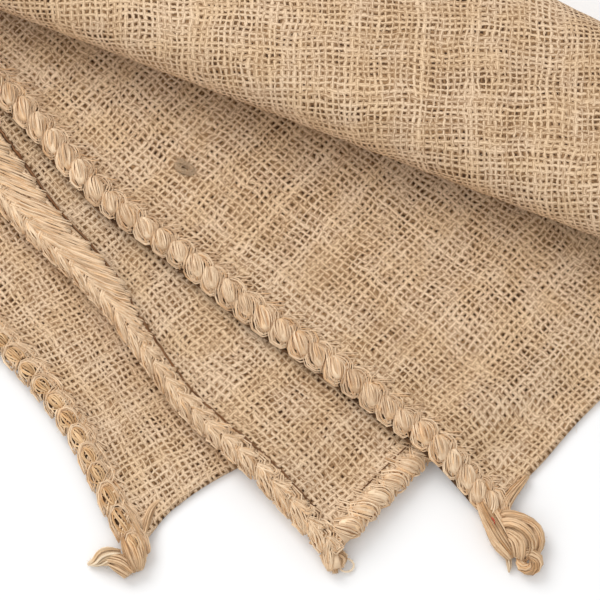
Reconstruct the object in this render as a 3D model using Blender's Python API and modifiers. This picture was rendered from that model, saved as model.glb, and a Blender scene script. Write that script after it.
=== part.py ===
"""A sewn jute sack lying folded in four, its four leaves fanned out and its far side rolled back over.

The cloth is laid out first as a flat stack of leaves, in stack space (x, y, height). One function, roll,
then carries every point of cloth and sewing into its place: flat on the floor, up and over at the back
fold, and down again round the front fold.
"""

import math

import bmesh
import bpy
import numpy as np

MM = 0.001

# The sack, laid flat
HALF_WIDTH = 390 * MM
HALF_LENGTH = 545 * MM
CLOTH = 2.0 * MM          # one leaf: both panels of the sack together
PITCH = 2.7 * MM          # from one leaf to the next
CLEARANCE = 0.35 * MM     # between sewing and what it lies on
SEAM_GAP = 0.6 * MM       # between a seam and the edge of its leaf

# The fan: the leaves turn about the sack's centre, where both folds cross
CENTRE = np.array((-67.4, 557.9)) * MM
EAST_MOUTH, EAST_BOTTOM, WEST_BOTTOM, WEST_MOUTH = 3, 2, 1, 0     # levels, from the floor up
SEAM_ANGLE = {EAST_MOUTH: 139.0, EAST_BOTTOM: 132.4, WEST_BOTTOM: 132.4, WEST_MOUTH: 125.0}
TUCK = 10 * MM            # how far the hidden leaf's corner lies inside the one above
INNER_FOLD = 5 * MM       # the inner lengthwise fold, inside the outer one at the centre
CENTRE_CUT = 30 * MM      # the four-fold corner is left open this far from the centre

# The roll: the back fold turns the stack over, the front fold turns it under again
BACK_POINT = np.array((129.0, 88.0)) * MM
BACK_ANGLE = -29.0
BACK_RADIUS = 26 * MM
FRONT_POINT = np.array((2.8, 85.7)) * MM
FRONT_ANGLE = -22.5
FRONT_RADIUS = 17 * MM
BACK_STEPS, FRONT_STEPS = 9, 8

# How upper leaves come down to the floor past the edges of the lower ones
DROOP_START, DROOP_END = 4 * MM, 30 * MM
SEAM_RISE = 11 * MM       # the strip of cloth beside a seam that rises to it
RIDGE = 3.0 * MM          # the top leaf's ridge over the bottom seam
RIDGE_WIDTH = 22 * MM
RIDGE_LENGTH = 150 * MM

# Soft creases: the leaf that each lies on, its two ends, half its width and its height
CREASES = (
    (EAST_MOUTH, (-150.0, 112.0), (-8.0, -20.0), 15.0, 1.5),
    (EAST_MOUTH, (-30.0, 42.0), (56.0, -52.0), 16.0, 1.3),
    (EAST_MOUTH, (40.0, 8.0), (128.0, -26.0), 20.0, 1.0),
    (EAST_BOTTOM, (-122.0, 34.0), (-40.0, -52.0), 12.0, 0.9),
    (WEST_MOUTH, (-124.0, -8.0), (-62.0, -78.0), 12.0, 0.9),
)
CREASE_CUTS = 24 * MM     # the cloth before the roll is cut this finely, to take them,
CREASE_CUT_COUNT = 20     # by this many lines to each side of the back fold's point

# The sewing: thick yarn wrapped over the edge
STITCH = 9.5 * MM
BULGE = 4.3 * MM          # half the seam's width over a stitch
WAIST = 3.4 * MM          # and between two stitches
PRESSED = 1.15 * MM       # half the seam's thickness where leaves press on it
PRESSED_STEP = 14 * MM    # from one section of a pressed seam to the next
BEND_STEP = 5 * MM        # and where it may bend in the roll
SEAM_SIDES = 8
TURN_STEPS = 4            # sections of a seam as it turns round a fold
BOTTOM_ROUND = 10 * MM    # the bottom seam is round this far from its corner,
BOTTOM_PRESSED = 90 * MM  # and pressed flat from here on
ROUND_FROM = {EAST_MOUTH: 110 * MM, EAST_BOTTOM: 220 * MM, WEST_MOUTH: 250 * MM}   # from the far fold
ROUNDING = 50 * MM        # the length over which a side seam comes to its full thickness
STILL_ROUND = PRESSED * 1.5

# What hangs on past each corner: length, turn from the seam's way, and half the width at its end
TAILS = {
    EAST_MOUTH: (6.0 * MM, -45.0, 4.2 * MM),
    EAST_BOTTOM: (9.8 * MM, -29.0, 2.4 * MM),
    WEST_MOUTH: (5.0 * MM, -20.0, 4.4 * MM),
}

# The knots' lobes: middle, half sizes and turn in the plan, all resting on the floor
EAST_KNOT = (
    ((94.4, -108.6), (5.8, 8.2, 6.0), -6.0),
    ((87.6, -107.9), (4.4, 7.2, 4.6), 6.0),
    ((99.6, -106.6), (3.4, 7.8, 4.4), -8.0),
    ((96.0, -116.8), (5.2, 5.0, 5.0), 0.0),
    ((88.8, -117.4), (1.5, 4.4, 2.0), -10.0),
)
WEST_KNOT = (
    ((-79.0, -121.9), (5.4, 3.2, 3.8), -25.0),
    ((-71.6, -120.0), (4.2, 3.0, 4.0), 0.0),
    ((-85.3, -117.8), (4.0, 3.8, 3.6), 0.0),
    ((-88.6, -119.6), (2.8, 1.6, 1.8), 15.0),
)

# Where the stack is pulled a little out of line: middle, reach, and how far, in millimetres
PULLS = (
    ((88.0, -94.0), 22.0, (-5.0, 0.0)),
    ((43.0, -55.0), 45.0, (-1.5, -2.5)),
    ((-25.0, 4.0), 50.0, (-3.5, -5.0)),
    ((-78.0, 50.0), 45.0, (-6.0, -9.0)),
    ((-127.0, 93.0), 45.0, (0.0, -1.5)),
    ((118.0, -60.0), 30.0, (-2.5, 2.0)),
    ((12.0, -108.0), 30.0, (1.0, -3.0)),
    ((-42.0, -48.0), 45.0, (-3.0, -5.0)),
    ((-96.0, 11.0), 45.0, (2.5, 0.5)),
    ((56.0, -67.0), 35.0, (-0.5, 1.5)),
    ((-74.0, -112.0), 30.0, (1.5, 2.5)),
    ((-100.0, -75.0), 40.0, (7.5, 8.5)),
    ((-129.0, -34.0), 45.0, (7.0, 5.0)),
    ((-33.0, -84.0), 35.0, (-2.5, 4.5)),
    ((88.0, -94.0), 12.0, (-2.5, 1.0)),
    ((-74.0, -112.0), 14.0, (3.5, -4.0)),
)

PLACE = np.array((75.3, -118.15, 0.0)) * MM     # moves the middle of the part's box to the origin


# ------------------------------------------------------------------ plane geometry

def heading(degrees):
    angle = math.radians(degrees)
    return np.array((math.cos(angle), math.sin(angle)))


def left_of(direction):
    return np.array((-direction[1], direction[0]))


def meeting(point, direction, other_point, other_direction):
    """Where two lines of the plan cross."""
    along = np.linalg.solve(np.column_stack((direction, -other_direction)), other_point - point)
    return point + direction * along[0]


def smooth(value, start, end):
    """0 at start, 1 at end, and an S between them."""
    t = np.clip((value - start) / (end - start), 0.0, 1.0)
    return t * t * (3.0 - 2.0 * t)


class Leaf:
    """A quarter of the sack: its corner, its two outer edges and the two folds that meet at the centre."""

    def __init__(self, level, far_fold, side_fold, fold_centre):
        self.level = level
        along = heading(SEAM_ANGLE[level])
        across = -left_of(along)
        tuck = TUCK if level == WEST_BOTTOM else 0.0
        self.far_end = meeting(CENTRE - across * HALF_WIDTH, along, CENTRE, far_fold)
        self.side_end = meeting(CENTRE - along * HALF_LENGTH, across, fold_centre, side_fold)
        self.corner = CENTRE - along * (HALF_LENGTH - tuck) - across * (HALF_WIDTH - tuck)
        self.far_fold, self.side_fold, self.fold_centre = far_fold, side_fold, fold_centre
        self.seam_way = (self.far_end - self.corner) / np.linalg.norm(self.far_end - self.corner)
        self.edge_way = (self.side_end - self.corner) / np.linalg.norm(self.side_end - self.corner)
        self.sewn_bottom = level in (EAST_BOTTOM, WEST_BOTTOM)

    def outside_seam(self, plan):
        return (plan - self.corner) @ left_of(self.seam_way)

    def outside_edge(self, plan):
        return (plan - self.corner) @ -left_of(self.edge_way)


def mean_heading(level, other, turn):
    return heading((SEAM_ANGLE[level] + SEAM_ANGLE[other]) / 2 + turn)


def make_leaves():
    far_east = mean_heading(EAST_MOUTH, EAST_BOTTOM, 90)
    far_west = mean_heading(WEST_MOUTH, WEST_BOTTOM, 90)
    outer = mean_heading(EAST_MOUTH, WEST_MOUTH, 180)
    inner = mean_heading(EAST_BOTTOM, WEST_BOTTOM, 180)
    inner_centre = CENTRE - left_of(inner) * INNER_FOLD
    return {
        EAST_MOUTH: Leaf(EAST_MOUTH, far_east, outer, CENTRE),
        EAST_BOTTOM: Leaf(EAST_BOTTOM, far_east, inner, inner_centre),
        WEST_BOTTOM: Leaf(WEST_BOTTOM, far_west, inner, inner_centre),
        WEST_MOUTH: Leaf(WEST_MOUTH, far_west, outer, CENTRE),
    }


LEAVES = make_leaves()
BACK_OUT = left_of(heading(BACK_ANGLE))
FRONT_OUT = left_of(heading(FRONT_ANGLE))


def pulled(plan):
    """The plan with the stack's soft pulls on it."""
    moved = np.array(plan, float)
    for middle, reach, pull in PULLS:
        away = np.sum((plan - np.array(middle) * MM) ** 2, axis=-1) / (reach * MM) ** 2
        moved = moved + np.exp(-away)[..., None] * np.array(pull) * MM
    return moved


# ------------------------------------------------------------------ heights in the stack

def past_back_fold(plan):
    return (plan - BACK_POINT) @ BACK_OUT


def cover(leaf, plan):
    """1 where the leaf lies under the plan point, falling to 0 past its two outer edges."""
    outside = np.maximum(leaf.outside_seam(plan), leaf.outside_edge(plan))
    droop = smooth(outside, DROOP_START, DROOP_END)
    in_roll = smooth(past_back_fold(plan), -60 * MM, -5 * MM)
    return 1.0 - droop * (1.0 - in_roll)


def layers_below(level, plan):
    return sum(cover(LEAVES[lower], plan) for lower in range(level))


def creased(level, plan):
    """The height that soft creases add to a leaf, its own and those of the leaves below."""
    total = 0.0
    for crease_level, start, end, half_width, height in CREASES:
        if crease_level > level:
            continue
        start, end = np.array(start) * MM, np.array(end) * MM
        along = (end - start) / np.linalg.norm(end - start)
        middle = (start + end) / 2
        across = np.abs((plan - middle) @ left_of(along)) / (half_width * MM)
        lengthwise = np.abs((plan - middle) @ along) / np.linalg.norm(end - middle)
        total = total + height * MM * smooth(across, 1.0, 0.0) * smooth(lengthwise, 1.0, 0.4)
    return total * smooth(past_back_fold(plan), 0.0, -15 * MM)


def bottom_ridge(plan):
    """The rise of the top leaf over the sewn bottom edge, near its corner."""
    leaf = LEAVES[EAST_BOTTOM]
    from_corner = (plan - leaf.corner) @ leaf.edge_way
    near = smooth(from_corner, RIDGE_LENGTH, 60 * MM)
    return RIDGE * near * smooth(np.abs(leaf.outside_edge(plan)), RIDGE_WIDTH, 2 * MM)


def seam_thickness(level, to_end):
    """Half the height of a side seam, this far from its far end: round, then pressed between leaves."""
    if level == WEST_BOTTOM:
        return np.full_like(to_end, PRESSED)
    round_from = ROUND_FROM[level]
    return PRESSED + (BULGE - PRESSED) * smooth(to_end, round_from - ROUNDING, round_from)


def bottom_thickness(level, from_corner):
    """Half the height of the bottom seam, this far from its corner."""
    if level == WEST_BOTTOM:
        return np.full_like(from_corner, PRESSED)
    return PRESSED + (BULGE - PRESSED) * smooth(from_corner, BOTTOM_PRESSED, BOTTOM_ROUND)


def resting_height(level, plan, half_height):
    """The middle height of sewing of this half height that lies on the leaves below."""
    below = layers_below(level, plan)
    ridge = bottom_ridge(plan) if level == EAST_MOUTH else 0.0
    return PITCH * below - CLEARANCE * np.minimum(below, 1.0) + ridge + creased(level, plan) + half_height


def sewing_height(level, plan, half):
    """The middle height of sewing: lying on the leaves below, or pressed in line with its own leaf."""
    lying = resting_height(level, plan, half)
    pressed = CLOTH / 2 + PITCH * layers_below(level, plan) + creased(level, plan)
    height = pressed + (lying - pressed) * smooth(half, PRESSED, STILL_ROUND)
    return np.maximum(height, half)


def side_seam_height(level, plan):
    leaf = LEAVES[level]
    return sewing_height(level, plan, seam_thickness(level, (leaf.far_end - plan) @ leaf.seam_way))


def bottom_seam_height(level, plan):
    leaf = LEAVES[level]
    return sewing_height(level, plan, bottom_thickness(level, (plan - leaf.corner) @ leaf.edge_way))


def leaf_height(level, plan):
    """The middle height of a leaf: the leaves below it, its ridge and its rise to its own seam."""
    leaf = LEAVES[level]
    height = CLOTH / 2 + PITCH * layers_below(level, plan) + creased(level, plan)
    if level == EAST_MOUTH:
        height = height + bottom_ridge(plan)
    if leaf.sewn_bottom:
        beside = smooth(-leaf.outside_edge(plan), BULGE + SEAM_RISE, BULGE)
        height = height + (bottom_seam_height(level, plan) - height) * beside
    beside = smooth(-leaf.outside_seam(plan), BULGE + SEAM_RISE, BULGE)
    return height + (side_seam_height(level, plan) - height) * beside


# ------------------------------------------------------------------ the roll

def roll(points):
    """Carries points from stack space to where the rolled stack lies."""
    plan, height = pulled(points[:, :2]), points[:, 2].copy()
    past = past_back_fold(plan)
    turn = np.clip(past / BACK_RADIUS, 0.0, math.pi)
    beyond = np.maximum(past - math.pi * BACK_RADIUS, 0.0)
    reach = (BACK_RADIUS - height) * np.sin(turn) - beyond - np.maximum(past, 0.0)
    plan += BACK_OUT * reach[:, None]
    up = np.where(past > 0, BACK_RADIUS - (BACK_RADIUS - height) * np.cos(turn), height)

    turned_over = past >= math.pi * BACK_RADIUS
    past = np.where(turned_over, (FRONT_POINT - plan) @ FRONT_OUT, -1.0)
    turn = np.clip(past / FRONT_RADIUS, 0.0, math.pi)
    beyond = np.maximum(past - math.pi * FRONT_RADIUS, 0.0)
    reach = np.maximum(past, 0.0) - (FRONT_RADIUS - height) * np.sin(turn) + beyond
    plan += FRONT_OUT * reach[:, None]
    top = 2 * BACK_RADIUS - FRONT_RADIUS
    up = np.where(past > 0, top + (FRONT_RADIUS - height) * np.cos(turn), up)
    return np.column_stack((plan, np.maximum(up, 0.0))) + PLACE


# ------------------------------------------------------------------ cutting the leaves

def cut(mesh, point, normal, clear=False, near=None):
    """Cuts the faces along a line of the plan; clear drops what lies on the normal's side."""
    faces = [f for f in mesh.faces if near is None or near(f)]
    geometry = faces + list({e for f in faces for e in f.edges}) + list({v for f in faces for v in f.verts})
    bmesh.ops.bisect_plane(
        mesh, geom=geometry, dist=1e-7, plane_co=(*point, 0), plane_no=(*normal, 0), clear_outer=clear)


def before_roll(face):
    centre = np.array(face.calc_center_median()[:2])
    return past_back_fold(centre) < 0


def flat_leaf(leaf):
    """The leaf as a flat mesh in the plan, cut where it bends, droops or rises."""
    mesh = bmesh.new()
    bmesh.ops.create_grid(mesh, x_segments=1, y_segments=1, size=3 * HALF_LENGTH)
    seam_out, edge_out = left_of(leaf.seam_way), -left_of(leaf.edge_way)
    seam_inset = BULGE + SEAM_GAP
    edge_inset = seam_inset if leaf.sewn_bottom else 0.0
    cut(mesh, leaf.corner - seam_out * seam_inset, seam_out, clear=True)
    cut(mesh, leaf.corner - edge_out * edge_inset, edge_out, clear=True)
    cut(mesh, CENTRE, -left_of(leaf.far_fold), clear=True)
    cut(mesh, leaf.fold_centre, left_of(leaf.side_fold), clear=True)
    to_centre = -(heading(SEAM_ANGLE[EAST_BOTTOM] + 135))
    cut(mesh, CENTRE - to_centre * CENTRE_CUT, to_centre, clear=True)
    for step in range(BACK_STEPS + 1):
        cut(mesh, BACK_POINT + BACK_OUT * (math.pi * BACK_RADIUS * step / BACK_STEPS), BACK_OUT)
    for point, normal in front_fold_lines():
        cut(mesh, point, normal)
    for way in (BACK_OUT, left_of(BACK_OUT)):
        for step in range(-CREASE_CUT_COUNT, CREASE_CUT_COUNT):
            cut(mesh, BACK_POINT + way * (CREASE_CUTS * step), way, near=before_roll)
    for inset in (BULGE + SEAM_RISE / 2, BULGE + SEAM_RISE):
        cut(mesh, leaf.corner - seam_out * inset, seam_out, near=before_roll)
        if leaf.level == EAST_BOTTOM:
            cut(mesh, leaf.corner - edge_out * inset, edge_out, near=before_roll)
    for lower in range(leaf.level):
        other = LEAVES[lower]
        out = -left_of(other.edge_way)
        for reach in (DROOP_START, (DROOP_START + DROOP_END) / 2, DROOP_END):
            cut(mesh, other.corner + out * reach, out, near=before_roll)
    if leaf.level == EAST_MOUTH:
        other = LEAVES[EAST_BOTTOM]
        out = -left_of(other.edge_way)
        cut(mesh, other.corner - out * RIDGE_WIDTH, out, near=before_roll)
        cut(mesh, other.corner - out * RIDGE_WIDTH / 2, out, near=before_roll)
    return mesh


def front_fold_lines():
    """The front fold's bending lines, brought back from the turned-over stack to the flat one."""
    over = heading(2 * BACK_ANGLE - FRONT_ANGLE)
    normal = left_of(over)
    flipped = FRONT_POINT - BACK_POINT
    depth = flipped @ BACK_OUT
    start = FRONT_POINT - BACK_OUT * (2 * depth) + BACK_OUT * math.pi * BACK_RADIUS
    for step in range(FRONT_STEPS + 1):
        yield start + normal * (math.pi * FRONT_RADIUS * step / FRONT_STEPS), normal


# ------------------------------------------------------------------ joining the leaves

def on_line(mesh, point, direction):
    """The mesh's points on a line of the plan, by their place along it."""
    found = {}
    for vertex in mesh.verts:
        away = np.array(vertex.co[:2]) - point
        if abs(away @ left_of(direction)) < 2e-6:
            found[float(away @ direction)] = vertex
    return dict(sorted(found.items()))


def share_points(mesh, other, point, direction):
    """Splits edges until both meshes have the same points along a fold."""
    for pick in (0, -1):
        place = list(on_line(mesh, point, direction))[pick]
        end = list(on_line(other, point, direction).values())[pick]
        end.co[:2] = point + direction * place
    for target, source in ((mesh, other), (other, mesh)):
        for place in on_line(source, point, direction):
            have = on_line(target, point, direction)
            places = list(have)
            if min(abs(place - p) for p in places) < 5e-6 or not places[0] < place < places[-1]:
                continue
            before = max(p for p in places if p < place)
            after = min(p for p in places if p > place)
            edge = next(e for e in have[before].link_edges if e.other_vert(have[before]) is have[after])
            bmesh.utils.edge_split(edge, have[before], (place - before) / (after - before))


def join_fold(whole, upper, lower, point, direction, outward, steps):
    """A half round of cloth between the edges of two leaves."""
    columns = []
    for top, bottom in zip(upper.values(), lower.values()):
        radius = (top.co.z - bottom.co.z) / 2
        column = [top]
        for step in range(1, steps):
            angle = math.pi * step / steps
            side = outward * radius * math.sin(angle)
            height = (top.co.z + bottom.co.z) / 2 + radius * math.cos(angle)
            column.append(whole.verts.new((top.co.x + side[0], top.co.y + side[1], height)))
        columns.append(column + [bottom])
    for column, following in zip(columns, columns[1:]):
        for index in range(steps):
            whole.faces.new((column[index], column[index + 1], following[index + 1], following[index]))


def folded_sheet():
    """The middle surface of the whole cloth, folded in four in stack space."""
    flats = {level: flat_leaf(leaf) for level, leaf in LEAVES.items()}
    east, west = LEAVES[EAST_MOUTH], LEAVES[WEST_MOUTH]
    inner = LEAVES[EAST_BOTTOM]
    folds = (
        (EAST_MOUTH, EAST_BOTTOM, CENTRE, east.far_fold, -left_of(east.far_fold), 4),
        (WEST_BOTTOM, WEST_MOUTH, CENTRE, west.far_fold, -left_of(west.far_fold), 4),
        (EAST_BOTTOM, WEST_BOTTOM, inner.fold_centre, inner.side_fold, left_of(inner.side_fold), 4),
        (EAST_MOUTH, WEST_MOUTH, CENTRE, east.side_fold, left_of(east.side_fold), 8),
    )
    for upper, lower, point, direction, _, _ in folds:
        share_points(flats[upper], flats[lower], point, direction)
    whole = bmesh.new()
    placed = {}
    for level, flat in flats.items():
        plan = np.array([v.co[:2] for v in flat.verts])
        heights = leaf_height(level, plan)
        copies = {v: whole.verts.new((*v.co[:2], h)) for v, h in zip(flat.verts, heights)}
        for face in flat.faces:
            whole.faces.new([copies[v] for v in face.verts])
        placed[level] = copies
    for upper, lower, point, direction, outward, steps in folds:
        top = {p: placed[upper][v] for p, v in on_line(flats[upper], point, direction).items()}
        bottom = {p: placed[lower][v] for p, v in on_line(flats[lower], point, direction).items()}
        join_fold(whole, top, bottom, point, direction, outward, steps)
    for flat in flats.values():
        flat.free()
    bmesh.ops.triangulate(whole, faces=whole.faces[:])
    bmesh.ops.recalc_face_normals(whole, faces=whole.faces[:])
    return whole


# ------------------------------------------------------------------ sewing

def section(plan, height, across, up, half_width, half_height):
    """One section of a seam: its middle, its two directions and its half sizes."""
    return (*plan, height), (*across, 0.0), up, half_width, half_height


def stations(length, thickness, bends_from=None):
    """Places along a seam: two to a stitch where it is round, fewer where it is pressed."""
    place, places = 0.0, []
    while place < length - STITCH / 4:
        places.append(place)
        is_round = thickness(np.array(place)) > STILL_ROUND
        bends = bends_from is not None and place > bends_from
        place += STITCH / 2 if is_round else BEND_STEP if bends else PRESSED_STEP
    return places + [length]


def stitch_width(index, is_round):
    return WAIST if is_round and index % 2 == 0 else BULGE


def side_sections(level):
    """A side seam from its corner to the far fold, with its tail first."""
    leaf = LEAVES[level]
    length = np.linalg.norm(leaf.far_end - leaf.corner)
    across = left_of(leaf.seam_way)
    sections = []
    tail, turn, tip = TAILS.get(level, (0.0, 0.0, WAIST))
    start = max(-tail, CLEARANCE)
    tail_way = rotated(-leaf.seam_way, turn)
    tail_across = -left_of(tail_way)
    for out in np.linspace(tail, STITCH / 4, 4) if tail > 0 else ():
        half = tip + (WAIST - tip) * (1 - out / tail)
        plan = leaf.corner + tail_way * out
        height = sewing_height(level, leaf.corner, np.array(half))
        sections.append(section(plan, float(height), tail_across, (0, 0, 1), half, half))
    places = stations(length - start, lambda place: seam_thickness(level, length - start - place))
    for index, place in enumerate(places):
        plan = leaf.corner + leaf.seam_way * (start + place)
        thick = seam_thickness(level, np.array(length - start - place))
        wide = stitch_width(index, thick > STILL_ROUND)
        half = float(min(wide, thick))
        height = float(sewing_height(level, plan, thick))
        sections.append(section(plan, height, across, (0, 0, 1), wide, half))
    return sections


def bottom_sections(level):
    """The bottom seam of a leaf, from beside its side seam to the inner fold."""
    leaf = LEAVES[level]
    start = 2 * CLEARANCE + BULGE
    length = np.linalg.norm(leaf.side_end - leaf.corner) - start
    across = -left_of(leaf.edge_way)
    rolled_from = -past_back_fold(leaf.corner) / (leaf.edge_way @ BACK_OUT) - start - BEND_STEP
    places = stations(length, lambda place: bottom_thickness(level, start + place), rolled_from)
    sections = []
    for index, place in enumerate(places):
        plan = leaf.corner + leaf.edge_way * (start + place)
        thick = bottom_thickness(level, np.array(start + place))
        wide = stitch_width(index, thick > STILL_ROUND)
        height = float(sewing_height(level, plan, thick))
        sections.append(section(plan, height, across, (0, 0, 1), wide, float(min(wide, thick))))
    return sections


def round_fold(sections, following, outward):
    """Joins two pressed seams, one above the other, by a half round at the fold they share."""
    (x, y, top), across, _, wide, half = sections[-1]
    bottom = following[-1][0][2]
    radius, middle = (top - bottom) / 2, (top + bottom) / 2
    turned = []
    for step in range(1, TURN_STEPS):
        angle = math.pi * step / TURN_STEPS
        side = outward * radius * math.sin(angle)
        up = (*(outward * math.sin(angle)), math.cos(angle))
        place = np.array((x, y)) + side
        turned.append(section(place, middle + radius * math.cos(angle), across[:2], up, wide, half))
    back = []
    for place, other_across, up, other_wide, other_half in reversed(following):
        level_up = tuple(-part for part in up)
        facing = np.dot(other_across[:2], across[:2])
        back.append((place, tuple(np.sign(facing) * np.array(other_across)), level_up, other_wide, other_half))
    return sections + turned + back


def rotated(direction, degrees):
    turn = heading(degrees)
    return np.array((direction @ (turn[0], -turn[1]), direction @ (turn[1], turn[0])))


def tube(sections):
    """A closed tube through the sections, from a grid wrapped round them."""
    mesh = bmesh.new()
    bmesh.ops.create_grid(mesh, x_segments=len(sections) - 1, y_segments=SEAM_SIDES, size=1.0)
    for vertex in mesh.verts:
        ring = round((vertex.co.x + 1) / 2 * (len(sections) - 1))
        angle = 2 * math.pi * round((vertex.co.y + 1) / 2 * SEAM_SIDES) / SEAM_SIDES - math.pi / 2
        middle, across, up, wide, high = (np.array(part) for part in sections[ring])
        vertex.co = middle + across * (wide * math.cos(angle)) + up * (high * math.sin(angle))
    bmesh.ops.remove_doubles(mesh, verts=mesh.verts[:], dist=1e-6)
    bmesh.ops.holes_fill(mesh, edges=[e for e in mesh.edges if e.is_boundary], sides=0)
    bmesh.ops.triangulate(mesh, faces=mesh.faces[:])
    bmesh.ops.recalc_face_normals(mesh, faces=mesh.faces[:])
    return mesh


def lobe(middle, half_sizes, turn):
    """An egg-shaped lump resting on the floor, in stack space."""
    mesh = bmesh.new()
    bmesh.ops.create_icosphere(mesh, subdivisions=2, radius=1.0)
    along = heading(turn)
    for vertex in mesh.verts:
        x, y, z = (part * size * MM for part, size in zip(vertex.co, half_sizes))
        plan = np.array(middle) * MM + along * x + left_of(along) * y
        vertex.co = (*plan, z + half_sizes[2] * MM)
    return mesh


# ------------------------------------------------------------------ objects

def clear_scene():
    for item in list(bpy.data.objects):
        bpy.data.objects.remove(item, do_unlink=True)


def material(name, colour, roughness):
    made = bpy.data.materials.new(name)
    made.use_nodes = True
    shader = made.node_tree.nodes["Principled BSDF"]
    shader.inputs["Base Color"].default_value = (*colour, 1.0)
    shader.inputs["Roughness"].default_value = roughness
    shader.inputs["Metallic"].default_value = 0.0
    return made


def add_object(name, mesh, collection, look):
    data = bpy.data.meshes.new(name)
    mesh.to_mesh(data)
    mesh.free()
    data.materials.append(look)
    made = bpy.data.objects.new(name, data)
    collection.objects.link(made)
    return made


def rolled(mesh_object):
    """Moves an object's points from stack space into the roll."""
    data = mesh_object.data
    points = np.empty(len(data.vertices) * 3)
    data.vertices.foreach_get("co", points)
    data.vertices.foreach_set("co", roll(points.reshape(-1, 3)).ravel())
    data.update()


def thicken(mesh_object, thickness):
    """Applies a Solidify centred on the surface."""
    solidify = mesh_object.modifiers.new("Thickness", "SOLIDIFY")
    solidify.thickness = thickness
    solidify.offset = 0.0
    solidify.use_even_offset = True
    evaluated = mesh_object.evaluated_get(bpy.context.evaluated_depsgraph_get())
    thick = bpy.data.meshes.new_from_object(evaluated)
    mesh_object.modifiers.clear()
    mesh_object.data = thick


def build_cloth(collection):
    look = material("jute cloth", (0.58, 0.41, 0.24), 0.95)
    cloth = add_object("sack_cloth", folded_sheet(), collection, look)
    thicken(cloth, CLOTH)
    rolled(cloth)


def build_seams(collection):
    look = material("jute yarn", (0.60, 0.42, 0.22), 0.9)
    east, west, inner = LEAVES[EAST_MOUTH], LEAVES[WEST_MOUTH], LEAVES[EAST_BOTTOM]
    routes = {
        "seam_east": round_fold(
            side_sections(EAST_MOUTH), side_sections(EAST_BOTTOM), -left_of(east.far_fold)),
        "seam_west": round_fold(
            side_sections(WEST_BOTTOM), side_sections(WEST_MOUTH), -left_of(west.far_fold)),
        "seam_bottom": round_fold(
            bottom_sections(EAST_BOTTOM), bottom_sections(WEST_BOTTOM), left_of(inner.side_fold)),
    }
    for name, sections in routes.items():
        rolled(add_object(name, tube(sections), collection, look))


def build_knot(name, lobes, collection, guides):
    """A corner knot: its lobes joined into one lump."""
    look = material(name.replace("_", " "), (0.58, 0.40, 0.21), 0.9)
    whole = add_object(name, lobe(*lobes[0]), collection, look)
    for row in lobes[1:]:
        piece = add_object(name + "_lobe", lobe(*row), guides, look)
        piece.hide_render = True
        piece.display_type = "WIRE"
        rolled(piece)
        union = whole.modifiers.new("Lobe", "BOOLEAN")
        union.operation = "UNION"
        union.solver = "EXACT"
        union.object = piece
    rolled(whole)


def main():
    clear_scene()
    collection = bpy.data.collections.new("jute sack")
    guides = bpy.data.collections.new("cutters")
    for made in (collection, guides):
        bpy.context.scene.collection.children.link(made)
    build_cloth(collection)
    build_seams(collection)
    build_knot("knot_east", EAST_KNOT, collection, guides)
    build_knot("knot_west", WEST_KNOT, collection, guides)


main()
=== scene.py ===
"""The folded jute sack, dressed: woven cloth, seams of wrapped yarn, corner knots and loose fibres.

Everything is laid out first in stack space, as in the part's source: a flat stack of leaves whose points
are (x, y, height). One function, roll, then carries every point into its place.
"""

import math
import random

import bmesh
import bpy
import numpy as np
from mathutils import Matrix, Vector
from numpy.linalg import norm


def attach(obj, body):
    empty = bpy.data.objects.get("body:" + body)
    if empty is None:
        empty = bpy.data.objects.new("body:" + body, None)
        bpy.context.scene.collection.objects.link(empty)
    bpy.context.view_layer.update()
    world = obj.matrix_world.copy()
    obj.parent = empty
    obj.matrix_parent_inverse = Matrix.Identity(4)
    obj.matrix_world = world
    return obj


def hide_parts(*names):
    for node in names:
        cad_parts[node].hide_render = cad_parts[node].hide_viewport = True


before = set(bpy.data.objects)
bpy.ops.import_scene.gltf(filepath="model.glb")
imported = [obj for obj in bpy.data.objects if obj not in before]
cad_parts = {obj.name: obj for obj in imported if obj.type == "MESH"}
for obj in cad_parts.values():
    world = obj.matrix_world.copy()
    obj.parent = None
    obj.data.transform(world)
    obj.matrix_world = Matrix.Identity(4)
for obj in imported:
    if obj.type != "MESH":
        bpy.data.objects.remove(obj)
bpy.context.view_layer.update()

MM = 0.001

# The sack, laid flat
HALF_WIDTH = 390 * MM
HALF_LENGTH = 545 * MM
CLOTH = 2.0 * MM
PITCH = 2.7 * MM
CLEARANCE = 0.35 * MM

# The fan of four leaves
CENTRE = np.array((-67.4, 557.9)) * MM
EAST_MOUTH, EAST_BOTTOM, WEST_BOTTOM, WEST_MOUTH = 3, 2, 1, 0
SEAM_ANGLE = {EAST_MOUTH: 139.0, EAST_BOTTOM: 132.4, WEST_BOTTOM: 132.4, WEST_MOUTH: 125.0}
TUCK = 10 * MM
INNER_FOLD = 5 * MM

# The roll
BACK_POINT = np.array((129.0, 88.0)) * MM
BACK_ANGLE = -29.0
BACK_RADIUS = 26 * MM
FRONT_POINT = np.array((2.8, 85.7)) * MM
FRONT_ANGLE = -22.5
FRONT_RADIUS = 17 * MM

# How upper leaves come down past the edges of lower ones, and rise to their seams
DROOP_START, DROOP_END = 4 * MM, 30 * MM
DROOP_FADE = (-60 * MM, -5 * MM)  # from the back fold
SEAM_RISE = 11 * MM
RIDGE = 3.0 * MM
RIDGE_TOP, RIDGE_WIDTH = 2 * MM, 22 * MM
RIDGE_FULL, RIDGE_LENGTH = 60 * MM, 150 * MM

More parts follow.
